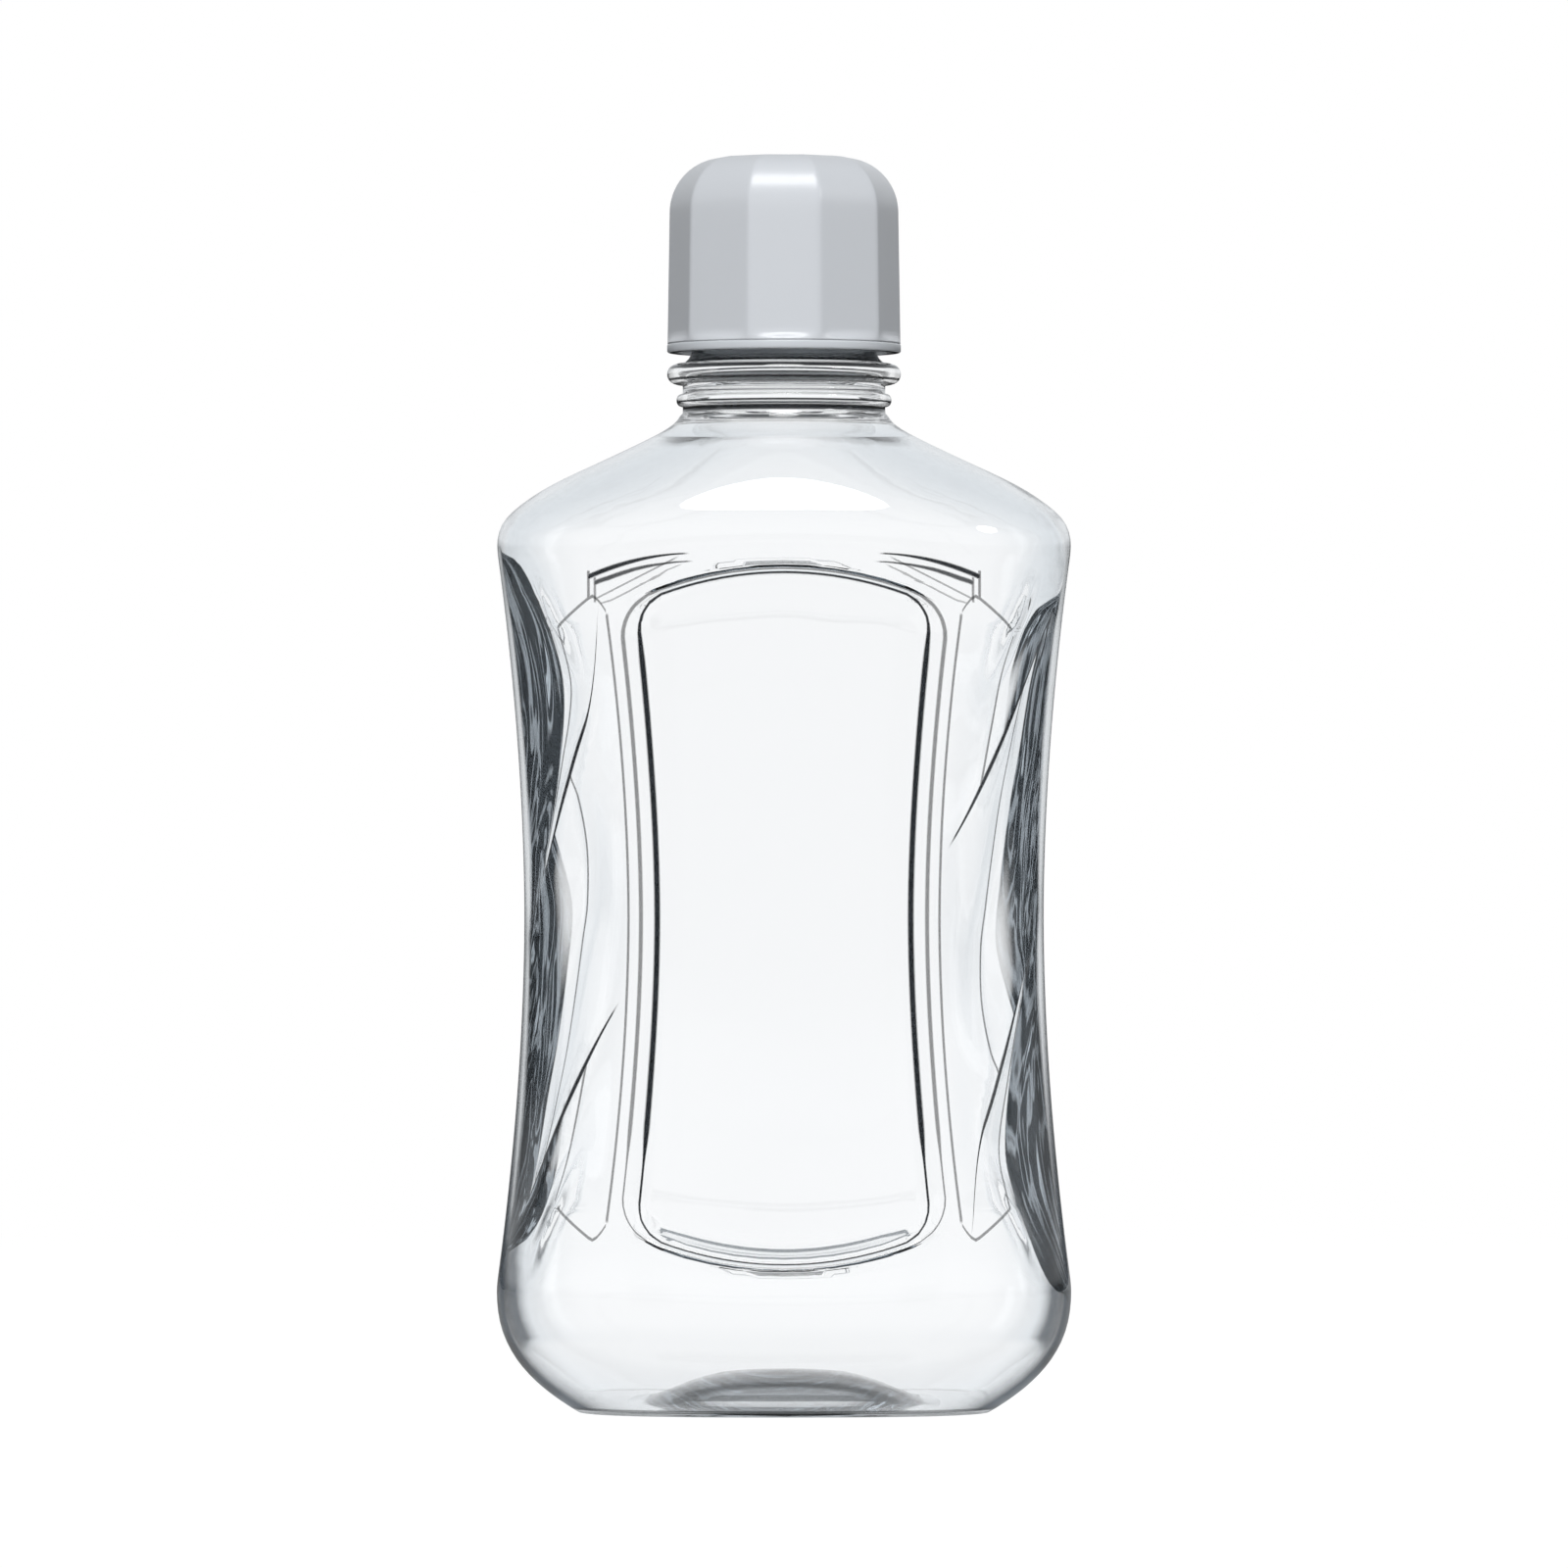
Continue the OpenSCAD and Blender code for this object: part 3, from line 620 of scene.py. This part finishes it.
class Value:
    """A number in a node tree. Arithmetic on it adds Math nodes."""

    __add__, __sub__, __mul__ = joining("ADD"), joining("SUBTRACT"), joining("MULTIPLY")
    __truediv__, __pow__, __abs__ = joining("DIVIDE"), joining("POWER"), joining("ABSOLUTE")
    least, over, root = joining("MINIMUM"), joining("GREATER_THAN"), joining("SQRT")
    fraction, angle, cosine = joining("FRACT"), joining("ARCTAN2"), joining("COSINE")

    def __init__(self, socket):
        self.socket = socket
        self.tree = socket.id_data

    def math(self, operation, *others):
        inputs = dict(enumerate((self, *others)))
        return Value(node(self.tree, "ShaderNodeMath", inputs, operation=operation).outputs[0])

    def __rsub__(self, other):
        return Value(node(self.tree, "ShaderNodeMath", {0: other, 1: self}, operation="SUBTRACT").outputs[0])

    def most(self, *others):
        total = self
        for other in others:
            total = total.math("MAXIMUM", other)
        return total

    def step(self, low, high, start=0.0, end=1.0):
        """Smooth change from start to end while this goes from low to high."""
        inputs = dict(enumerate((self, low, high, start, end)))
        made = node(self.tree, "ShaderNodeMapRange", inputs, interpolation_type="SMOOTHSTEP")
        return Value(made.outputs[0])

    def fall(self, low, high):
        """One below the low value, nothing above the high one."""
        return self.step(low, high, 1.0, 0.0)

    def line(self, half_width):
        """One on a line of that half width where this distance is nothing, and nothing beside it."""
        return (abs(self) / half_width).fall(*LINE_EDGE)


def separated(tree, vector):
    """The three numbers of a vector."""
    return [Value(socket) for socket in node(tree, "ShaderNodeSeparateXYZ", {0: vector}).outputs]


def blend(tree, mask, first, second):
    """A colour that goes from the first to the second with a mask."""
    return node(tree, "ShaderNodeMix", {0: mask, 6: first, 7: second}, data_type="RGBA").outputs[2]


def noise(tree, vector, scale, detail, distortion=0.0):
    """A noise on a vector, in its own shares."""
    inputs = {"Vector": vector, "Scale": scale, "Detail": detail, "Distortion": distortion}
    return Value(node(tree, "ShaderNodeTexNoise", inputs).outputs["Fac"])


def group_with(name, vectors, numbers, results):
    """A node group with its vector inputs, its number inputs and their defaults, and its results."""
    group = bpy.data.node_groups.new(name, "ShaderNodeTree")

    def sockets(names, way, kind="NodeSocketFloat"):
        return [group.interface.new_socket(name=key, in_out=way, socket_type=kind) for key in names]

    sockets(vectors, "INPUT", "NodeSocketVector")
    for socket, default in zip(sockets(numbers, "INPUT"), numbers.values()):
        socket.default_value = default
    sockets(results, "OUTPUT")
    return group, node(group, "NodeGroupInput").outputs


def grain_group():
    """Fine moulded grain: a roughness and a surface height from two noises on Object coordinates."""
    numbers = {"Fine Scale": 900.0, "Broad Scale": 40.0, "Roughness": 0.3, "Variation": 0.05}
    group, into = group_with("moulded_grain", ("Coordinates",), numbers, ("Roughness", "Height"))
    fine = noise(group, into["Coordinates"], into["Fine Scale"], 3.0)
    broad = noise(group, into["Coordinates"], into["Broad Scale"], 2.0)
    roughness = (broad - 0.5) * into["Variation"] + into["Roughness"]
    node(group, "NodeGroupOutput", {"Roughness": roughness.most(0.0).least(1.0), "Height": fine})
    return group


def painted_shade_group():
    """Masks of painted light and shade on the clear bottle, from the distances to the panel's outlines and
    the places on
    the grips: its bold and thin painted dark lines, the painted shade in the scoops' walls and its painted
    reflection streaks, the painted dark outline, the painted shade on the push-up and the body below the
    neck, where painted soft shade goes."""
    # Strengths of the painted dark lines
    numbers = {"Panel Line": 1.0, "Border Line": 0.9, "Crease Line": 1.0, "Thin Line": 0.9, "Neck Line": 1.0}
    group, into = group_with("moulded_lines", (*FIELD_NAMES.values(), "Coordinates"), numbers,
                             ("Lines", "Scoop Shade", "Streaks", "Edge Shade", "Push Up", "Body"))
    gap, border_gap, frame_gap = separated(group, into["Panel Place"])
    u, turn, end_gap = separated(group, into["Grip Place"])
    side_x, side_y, z = separated(group, into["Coordinates"])
    x, far = abs(side_x), abs(z - WAIST_HEIGHT)

    def own(name):
        """The value of the scoop that a place lies in."""
        top, middle, low = separated(group, into[name])
        first = low + (middle - low) * turn.over(-1.0)
        return first + (top - middle) * turn.over(0.0)

    deep, foot = own("Deep Lines"), own("Foot Lines")
    # painted dark lines on the creases, boldest in their middle and tapering to both ends
    width = abs(u - 0.66).step(0.05, 0.3, *CREASE_LINE)
    crease = (abs(turn).least(abs(turn + 1.0)) * CREASE_PITCH_ACROSS).line(width)
    crease = crease * u.step(0.34, 0.42) * u.fall(0.93, 0.97)
    crease = crease * far.fall(0.0585, 0.06) * into["Crease Line"]
    # thin painted dark lines at the deepest lines, the ends of the ramps and the edge of the frame
    deep_line = deep.line(SCOOP_LINE) * end_gap.fall(-0.0003, 0.0001) * u.step(0.38, 0.42)
    end_line = end_gap.line(SCOOP_LINE) * u.step(0.7, 0.715) * u.fall(0.995, 1.0)
    frame_line = frame_gap.line(FRAME_LINE) * far.fall(0.057, 0.0578)
    thin = deep_line.most(end_line, frame_line) * into["Thin Line"]
    # painted dark lines at the notch in the frame's upper corners: a bold rising line, a thin one under it
    # and an upright one
    q = (x - 0.0175) / 0.0193
    rise = 0.1634 - q.most(0.0) ** 1.94 * 0.00425
    bold = (z - rise).line(q.step(0.0, 0.9, *NOTCH_LINE)) * q.step(0.0, 0.08) * x.fall(NOTCH_SIDE, 0.0371)
    sinking = 0.1558 - (x - 0.0338) * 0.504
    under = (z - sinking).line(0.0002) * x.step(0.0195, 0.021) * x.fall(0.0352, 0.0358)
    upright = (x - NOTCH_SIDE).line(0.00028) * z.step(0.1548, 0.1553) * z.fall(0.1601, 0.1604)
    notch = bold.most(under * 0.8, upright * 0.9) * abs(side_y).step(0.012, 0.014)
    # painted dark lines on the outlines of the panel, thinner along its lower arc and its upper one
    above_arc = z.step(0.0475, 0.056)
    panel_width = above_arc * z.step(0.142, 0.152, 0.00037, 0.00008) + 0.0002
    panel_line = (gap - 0.0002).line(panel_width) * into["Panel Line"]
    border_line = border_gap.line(above_arc * 0.00024 + 0.00016) * into["Border Line"]
    # painted dark lines at the rings of the neck and at the edge of the foot on the outer skin
    rings = [(z - level).line(size) for level, size in NECK_LINES]
    neck = rings[0].most(*rings[1:]) * into["Neck Line"]
    inner_skin = gap.step(5.0, 5.1)
    foot_line = (z - 0.001).line(0.00034) * (0.85 - inner_skin)
    # the two floors get no painted dark outline, and the painted shade of the push-up's dome counts on the
    # inside only
    upright_wall = (1.0 - inner_skin * z.fall(0.01, 0.0125)) * z.step(0.0003, 0.001)
    radius = (x * x + side_y * side_y).root()
    dome = radius.fall(0.0262, 0.0274) * z.fall(0.012, 0.0125) * inner_skin
    # painted reflection streaks in the painted shade of the scoops' walls: level lines of a noise that is
    # drawn out along the scoops
    flow = node(group, "ShaderNodeCombineXYZ", {0: foot * 130.0 + radius * 260.0 * dome,
                                                1: z * 22.0 + side_x * 40.0})
    swirl = noise(group, flow, 1.0, 2.0, 2.2)
    level_lines = abs((swirl * REFLECTION_STREAK_LEVELS).fraction() - 0.5).fall(0.02, 0.26)
    node(group, "NodeGroupOutput", {
        "Lines": crease.most(thin, notch, panel_line, border_line, neck, foot_line),
        "Scoop Shade": foot.step(0.0, 0.0006) * u.step(STRIP - 0.03, STRIP + 0.02),
        "Streaks": level_lines * swirl.step(0.45, 0.62, 0.25, 1.0),
        "Edge Shade": z.step(0.03, 0.165, 1.0, 0.06) * upright_wall,
        "Push Up": dome,
        "Body": z.fall(0.186, 0.19) * upright_wall,
    })
    return group


def new_material(name):
    """A material of that name with an empty node tree."""
    material = bpy.data.materials.new(name + "_finish")
    material.use_nodes = True
    material.node_tree.nodes.clear()
    return material, material.node_tree


def bumped(tree, height, strength, distance):
    """The normal of a surface with that height."""
    return node(tree, "ShaderNodeBump", {"Height": height, "Strength": strength, "Distance": distance})


def clear_wall_material(looks, lines):
    """Clear plastic: a refracting wall with painted shade at glancing angles, in the scoops' walls and on the
    push-up, painted dark lines along its moulded edges, painted reflection streaks, a little absorption in
    its thickness, and light shadows."""
    material, tree = new_material("clear_wall")
    coords = node(tree, "ShaderNodeTexCoord").outputs["Object"]
    places = {name: node(tree, "ShaderNodeAttribute", attribute_name=key).outputs["Vector"]
              for key, name in FIELD_NAMES.items()}
    drawn = node(tree, "ShaderNodeGroup", {**places, "Coordinates": coords}, node_tree=lines)
    masks = {socket.name: Value(socket) for socket in drawn.outputs}
    outside = 1.0 - Value(node(tree, "ShaderNodeNewGeometry").outputs["Backfacing"])
    facing = Value(node(tree, "ShaderNodeLayerWeight", {"Blend": 0.5}).outputs["Facing"])
    # Painted shade: the wall turns near black at glancing angles, most strongly low on the body, as a painted
    # dark outline
    depth = masks["Edge Shade"]
    edge_from = 0.84 - depth * 0.36
    glance_shade = facing.step(edge_from, edge_from + 0.26) * depth
    # Painted shade: a soft grey-blue tint where the wall turns away from the view, on the body below the neck
    shade = facing.step(0.03, 0.65) * outside * masks["Body"]
    # Painted shade in the scoops' walls, strongest as they turn away from the view
    walls = masks["Scoop Shade"] * outside * facing.step(0.09, 0.24)
    # Painted shade with painted reflection streaks on the push-up's dome, strongest where it turns away from
    # the view
    push_up = masks["Push Up"] * facing.step(0.28, 0.5, 0.2, 0.98)
    streaks = blend(tree, masks["Streaks"], PAINTED_DARK_SHADE, PAINTED_STREAK_REFLECTION)
    tint = blend(tree, shade, (*looks.wall_colour, 1), (*looks.wall_shade_colour, 1))
    tint = blend(tree, glance_shade * (outside * 0.4 + 0.6), tint, (*looks.painted_edge_shade_colour, 1))
    tint = blend(tree, walls.most(push_up), tint, streaks)
    # Painted shade: dark lines over the wall, on the side facing the view
    tint = blend(tree, masks["Lines"] * outside, tint, PAINTED_LINE_SHADE)
    waves = noise(tree, coords, WAVE_SCALE, 1.0)
    glass = node(tree, "ShaderNodeBsdfPrincipled", {
        "Base Color": tint, "Metallic": 0.0, "Roughness": looks.wall_roughness, "IOR": PLASTIC_IOR,
        "Transmission Weight": 1.0, "Normal": bumped(tree, waves, WAVE_STRENGTH, WAVE_DEPTH)})
    clear = node(tree, "ShaderNodeBsdfTransparent", {0: SHADOW_TINT})
    path = node(tree, "ShaderNodeLightPath").outputs
    mix = node(tree, "ShaderNodeMixShader", {0: path["Is Shadow Ray"], 1: glass, 2: clear})
    absorb = node(tree, "ShaderNodeVolumeAbsorption", {"Color": ABSORBED, "Density": ABSORB_DENSITY})
    node(tree, "ShaderNodeOutputMaterial", {"Surface": mix, "Volume": absorb})
    return material


def plastic_material(name, base, roughness, variation, bump_depth, grain, coat=0.0):
    """Opaque moulded plastic with a fine grain and uneven gloss."""
    material, tree = new_material(name)
    coords = node(tree, "ShaderNodeTexCoord").outputs["Object"]
    inputs = {"Coordinates": coords, "Roughness": roughness, "Variation": variation}
    effect = node(tree, "ShaderNodeGroup", inputs, node_tree=grain)
    shader = node(tree, "ShaderNodeBsdfPrincipled", {
        "Base Color": (*base, 1), "Roughness": effect.outputs["Roughness"], "IOR": PLASTIC_IOR,
        "Coat Weight": coat, "Coat Roughness": COAT_ROUGHNESS,
        "Normal": bumped(tree, effect.outputs["Height"], GRAIN_STRENGTH, bump_depth)})
    node(tree, "ShaderNodeOutputMaterial", {"Surface": shader})
    return material


def finish(name):
    """The finish of that name, made on first use from the sidebar's looks."""
    found = bpy.data.materials.get(name + "_finish")
    if found:
        return found
    looks = bpy.context.scene.finish_looks
    grain = bpy.data.node_groups.get("moulded_grain") or grain_group()
    if name == "clear_wall":
        return clear_wall_material(looks, bpy.data.node_groups.get("moulded_lines") or painted_shade_group())
    if name == "cap_grey":
        return plastic_material(name, looks.cap_colour, looks.cap_roughness, 0.1, 0.00003, grain, 0.18)
    if name == "cup_grey":
        return plastic_material(name, looks.cup_colour, 0.3, 0.08, 0.00002, grain)
    return plastic_material("seal", looks.seal_colour, 0.62, 0.08, 0.00004, grain)


def dress(piece, material):
    """Gives a piece one material in its only slot."""
    piece.data.materials.clear()
    piece.data.materials.append(material)


class BOTTLE_OT_bottle(bpy.types.Operator):
    """Build the clear bottle: body with panels and grips, neck with thread, and its inside"""

    bl_idname = "bottle.build_bottle"
    bl_label = "Bottle"

    def execute(self, context):
        form = BodyForm(context.scene.bottle_sizes)
        body, fields, depths = body_grid(form)
        neck = neck_grid(form, body[-1])
        outer = np.concatenate([body, neck], 0)
        inner = inner_grid(form, body, depths)
        columns = outer.shape[1]
        count = outer.shape[0] * columns
        inner = inner[::-1]
        half = columns // 2
        poles = np.array([[0, 0, outer[0, 0, 2] + 0.00002], [0, 0, inner[-1, 0, 2] + 0.00002]])
        points = np.concatenate([outer.reshape(-1, 3), inner.reshape(-1, 3), poles])
        total = len(points)
        faces = np.concatenate([grid_faces(outer.shape[0], columns), grid_faces(inner.shape[0], half, count),
                                halving_faces(count - columns, count, columns),
                                fan_faces(total - 2, 0, columns),
                                fan_faces(total - 1, total - 2 - half, half, True)])
        piece = mesh_from("bottle_body", points, faces)
        for key, values in fields.items():
            field = np.full((len(points), 3), -1.0 if key == "grip_foot" else 9.0, np.float32)
            field[:values.shape[0] * columns] = values.reshape(-1, 3)
            store = piece.data.attributes.new(key, "FLOAT_VECTOR", "POINT")
            store.data.foreach_set("vector", field.ravel())
        dress(piece, finish("clear_wall"))
        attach(piece, "bottle")
        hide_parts("bottle")
        self.report({"INFO"}, f"{len(faces)} triangles, {count} outside points")
        return {"FINISHED"}


def facet_radius(theta, sides, sharpness):
    """Radius of a regular polygon with corners towards plus and minus X for a corner radius of one: the
    smooth maximum of the facets' distances, so that the corners are gently rounded."""
    facets = (np.arange(sides) + 0.5) * 2 * math.pi / sides
    near = np.cos(theta[..., None] - facets)
    top = near.max(-1)
    support = top + np.log(np.exp(sharpness * (near - top[..., None])).sum(-1)) / sharpness
    return math.cos(math.pi / sides) / support


def facet_angles(sides, per_side):
    """Angles round the cap, closer together at the corners."""
    t = (np.arange(per_side) + 0.5) / per_side
    spread = 0.5 - 0.5 * np.cos(math.pi * t)
    spread = 0.55 * spread + 0.45 * t
    return ((np.arange(sides)[:, None] + spread[None, :]) * 2 * math.pi / sides).ravel()


class BOTTLE_OT_cap_shell(bpy.types.Operator):
    """Build the ten-sided shell of the cap with its rounded crown and soft lower blend"""

    bl_idname = "bottle.build_cap_shell"
    bl_label = "Cap shell"

    def execute(self, context):
        cap = context.scene.cap_sizes
        bottom, top = SHELL_LOW.z, SHELL_HIGH.z
        theta = facet_angles(cap.sides, 16)
        polygon = facet_radius(theta, cap.sides, cap.edge_sharpness)
        turn = top - cap.rounding

        def skin(inset):
            """Side rows, then the rounding, then the flat crown drawn in to the middle."""
            side = np.concatenate([bottom + np.array([0, 0.0003, 0.0007, 0.0011, 0.0016, 0.0024]),
                                   np.linspace(bottom + 0.004, turn, 9)])
            radius = cap.corner_radius - cap.draft * (side - bottom) / (turn - bottom) - inset
            crown = cap.corner_radius - cap.draft - cap.rounding
            flat = crown * np.array([0.85, 0.65, 0.45, 0.25, 0.1])
            return np.concatenate([(radius, side), bend_points(crown, turn, cap.rounding - inset, 5, 90, 18),
                                   (flat, np.full(len(flat), top - inset))], 1)[..., None]

        r, z = skin(0.0)
        round_share = smooth((bottom + 0.0016 - z) / 0.0016)
        shape = r * polygon * (1 - round_share) + (cap.corner_radius - 0.0001) * round_share
        outer = points_round(shape, theta, z)
        r, z = skin(cap.shell_wall)
        inner = points_round(r * polygon, theta, z)
        rows, columns = 2 * len(z), len(theta)
        joined = np.concatenate([inner[::-1], outer], 0)
        points = np.concatenate([joined.reshape(-1, 3), [[0, 0, top], [0, 0, top - cap.shell_wall]]])
        faces = np.concatenate([grid_faces(rows, columns),
                                fan_faces(rows * columns, (rows - 1) * columns, columns, True),
                                fan_faces(rows * columns + 1, 0, columns)])
        piece = mesh_from("cap_outer", points, faces)
        dress(piece, finish("cap_grey"))
        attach(piece, "cap")
        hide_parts("cap_shell")
        return {"FINISHED"}


class BOTTLE_OT_measuring_cup(bpy.types.Operator):
    """Build the measuring cup inside the cap: flange, threaded skirt, ledge and rounded cup with rings"""

    bl_idname = "bottle.build_measuring_cup"
    bl_label = "Measuring cup"

    def execute(self, context):
        cap = context.scene.cap_sizes
        low, high = CUP_LOW.z, CUP_HIGH.z
        rim = (CUP_HIGH.x - CUP_LOW.x) / 2
        ledge = SEAL_HIGH.z
        skirt = SEAL_HIGH.x + 0.0003
        outer = skirt + cap.cup_wall
        mouth, taper, bend, edge, flange = 0.0154, 0.0008, 0.005, 0.0004, 0.0017
        shelf, floor = ledge + cap.cup_wall, high - cap.cup_wall
        wall_out, top_out = mouth - taper + cap.cup_wall, high - bend
        rings = np.linspace(top_out, ledge + 0.0006, 22)[1:]
        threads = np.linspace(ledge - 0.0006, low + 0.0006, 40)
        profile = np.concatenate([
            ([skirt + 0.0002, rim - edge], [low, low]),
            bend_points(rim - edge, low + edge, edge, -90, 0, 5),
            bend_points(rim - edge, low + flange - edge, edge, 0, 90, 5),
            ([outer, outer, mouth + cap.cup_wall], [low + flange, shelf, shelf]),
            bend_points(wall_out - bend, top_out, bend, 0, 90, 9),
            ([0.006, 0.003, 0.0003, 0.0003, 0.003, 0.006], [high, high, high, floor, floor, floor]),
            bend_points(wall_out - bend, top_out, bend - cap.cup_wall, 90, 0, 9),
            (mouth - taper * (rings - ledge) / (top_out - ledge), rings),
            ([mouth + 0.0001, mouth + 0.0005, skirt - 0.0003, skirt],
             [ledge + 0.0002, ledge, ledge, ledge - 0.0003]),
            (np.full(len(threads), skirt), threads)], 1)

        def radial(theta, heights, radii):
            """Threads stand in from the skirt and two plain measuring rings from the cup's wall."""
            on_skirt = np.abs(radii - skirt) < 1e-6
            ridge = thread_ridge(theta, heights + 0.0021, low + 0.004, ledge - 0.002, THREAD_LEAD, 0.0008)
            inside = (radii < mouth + 1e-6) & (heights > ledge + 0.0004) & (heights < top_out)
            marks = sum(smooth(1 - np.abs(heights - h) / 0.0006) for h in MEASURING_RINGS)
            return -ridge * on_skirt - 0.00025 * marks * inside

        piece = revolved("dosing_cup", *profile, 144, radial)
        dress(piece, finish("cup_grey"))
        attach(piece, "cap")
        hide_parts("measuring_cup")
        return {"FINISHED"}


class BOTTLE_OT_seal(bpy.types.Operator):
    """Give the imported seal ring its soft, matt finish"""

    bl_idname = "bottle.dress_seal"
    bl_label = "Seal ring"

    def execute(self, context):
        dress(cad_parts["seal_ring"], finish("seal"))
        return {"FINISHED"}


def area_light(name, watts):
    """The oval lamp of that name, which looks from its place at its aim."""
    place, aim, size, in_gloss, through = LAMPS[name]
    lamp = bpy.data.lights.new(name, "AREA")
    lamp.shape = "ELLIPSE"
    lamp.size, lamp.size_y = size
    lamp.energy = watts
    carrier = bpy.data.objects.new(name, lamp)
    bpy.context.scene.collection.objects.link(carrier)
    carrier.visible_camera, carrier.visible_glossy, carrier.visible_transmission = False, in_gloss, through
    carrier.location = place
    carrier.rotation_mode = "QUATERNION"
    carrier.rotation_quaternion = (Vector(aim) - Vector(place)).to_track_quat("-Z", "Y")


def build_world(studio):
    """White to the camera and through the bottle, a plain soft level for light, and a surround for gloss that
    is dark at the horizon and pale above it."""
    world = bpy.data.worlds.new("studio_surround")
    bpy.context.scene.world = world
    world.use_nodes = True
    tree = world.node_tree
    tree.nodes.clear()
    path = node(tree, "ShaderNodeLightPath").outputs
    x, y, z = separated(tree, node(tree, "ShaderNodeTexCoord").outputs["Generated"])
    wave = (y.angle(x) * WORLD_BANDS).cosine()
    through = wave.step(-1.0, -0.35, 0.82, 1.0).most(z.step(0.06, 0.35)) * z.step(0.55, 0.95, 1.0, 0.5)
    gloss = wave.step(0.1, 0.7, 0.0, 0.06).most(z.step(0.0, 0.09, 0.05, 0.72))

    def seen_by(ray, otherwise, tone, level):
        """The background of one kind of ray over what the others see."""
        chosen = node(tree, "ShaderNodeBackground", {0: (*tone, 1), 1: level})
        return node(tree, "ShaderNodeMixShader", {0: path[ray], 1: otherwise, 2: chosen})

    plain = node(tree, "ShaderNodeBackground", {0: (0.97, 0.985, 1.0, 1), 1: studio.world_fill})
    seen = seen_by("Is Glossy Ray", plain, (0.94, 0.97, 1.0), gloss)
    seen = seen_by("Is Transmission Ray", seen, (1, 1, 1), through)
    seen = seen_by("Is Camera Ray", seen, (1, 1, 1), 1.0)
    node(tree, "ShaderNodeOutputWorld", {0: seen})


def floor_material(studio):
    """Pale floor: mostly its own white to what sees it, with enough plain reflection to keep a shadow."""
    material, tree = new_material("studio_floor")
    path = node(tree, "ShaderNodeLightPath").outputs
    coords = node(tree, "ShaderNodeTexCoord").outputs["Object"]
    radius = Value(node(tree, "ShaderNodeVectorMath", {0: coords}, operation="LENGTH").outputs["Value"])
    seen = Value(path["Is Camera Ray"]).most(path["Is Transmission Ray"])
    own_share = seen * radius.step(*FLOOR_CHANGE, studio.floor_glow, 1.0)
    matt = node(tree, "ShaderNodeBsdfDiffuse", {0: (0.34, 0.34, 0.34, 1)})
    glow = node(tree, "ShaderNodeEmission", {0: (1, 1, 1, 1), 1: radius.step(*FLOOR_CHANGE, 1.26, 1.0)})
    mix = node(tree, "ShaderNodeMixShader", {0: own_share, 1: matt, 2: glow})
    node(tree, "ShaderNodeOutputMaterial", {0: mix})
    return material


class BOTTLE_OT_studio(bpy.types.Operator):
    """Build the pale floor, the surround, the lamps and the camera at the photograph's angle"""

    bl_idname = "bottle.build_studio"
    bl_label = "Studio"

    def execute(self, context):
        studio = context.scene.studio_looks
        ring = points_round(studio.floor_radius, np.arange(64) * 2 * math.pi / 64, 0.0)
        floor = mesh_from("floor", np.concatenate([ring, [[0, 0, 0]]]), fan_faces(64, 0, 64, True), False)
        dress(floor, floor_material(studio))
        build_world(studio)
        powers = (studio.key_power, studio.side_power, studio.side_power * RIGHT_SHARE, studio.top_power,
                  studio.spark_power, studio.rear_power)
        for name, watts in zip(LAMPS, powers):
            area_light(name, watts)
        data = bpy.data.cameras.new("view")
        data.sensor_width = SENSOR_WIDTH
        data.lens = data.sensor_width * studio.camera_distance / studio.view_width
        camera = bpy.data.objects.new("view", data)
        context.scene.collection.objects.link(camera)
        camera.location = (0, -studio.camera_distance, studio.camera_height)
        camera.rotation_euler = (math.pi / 2, 0, 0)
        context.scene.camera = camera
        context.scene.view_settings.view_transform = "Standard"
        cycles = context.scene.cycles
        cycles.max_bounces = cycles.transmission_bounces = 20
        cycles.glossy_bounces, cycles.transparent_max_bounces = 8, 16
        return {"FINISHED"}


STEPS = (BOTTLE_OT_bottle, BOTTLE_OT_cap_shell, BOTTLE_OT_measuring_cup, BOTTLE_OT_seal, BOTTLE_OT_studio)


class BOTTLE_PT_sidebar(bpy.types.Panel):
    """Lists the steps and the values that they use"""

    bl_idname = "BOTTLE_PT_sidebar"
    bl_label = "Clear bottle"
    bl_space_type = "VIEW_3D"
    bl_region_type = "UI"
    bl_category = "Bottle"

    def draw(self, context):
        for step in STEPS:
            self.layout.operator(step.bl_idname)
        for name in GROUPS:
            box = self.layout.box()
            values = getattr(context.scene, name)
            for key in values.bl_rna.properties.keys():
                if key not in {"rna_type", "name"}:
                    box.prop(values, key)


GROUPS = {"bottle_sizes": BottleSizes, "cap_sizes": CapSizes, "finish_looks": FinishLooks,
          "studio_looks": StudioLooks}
CLASSES = (*GROUPS.values(), *STEPS, BOTTLE_PT_sidebar)


def register():
    for cls in CLASSES:
        bpy.utils.register_class(cls)
    for name, group in GROUPS.items():
        setattr(bpy.types.Scene, name, PointerProperty(type=group))


def unregister():
    for name in GROUPS:
        delattr(bpy.types.Scene, name)
    for cls in reversed(CLASSES):
        bpy.utils.unregister_class(cls)


def main():
    """Registers the add-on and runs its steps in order."""
    register()
    bpy.ops.bottle.build_bottle()
    bpy.ops.bottle.build_cap_shell()
    bpy.ops.bottle.build_measuring_cup()
    bpy.ops.bottle.dress_seal()
    bpy.ops.bottle.build_studio()
    bpy.context.view_layer.update()


if __name__ == "__main__":
    main()
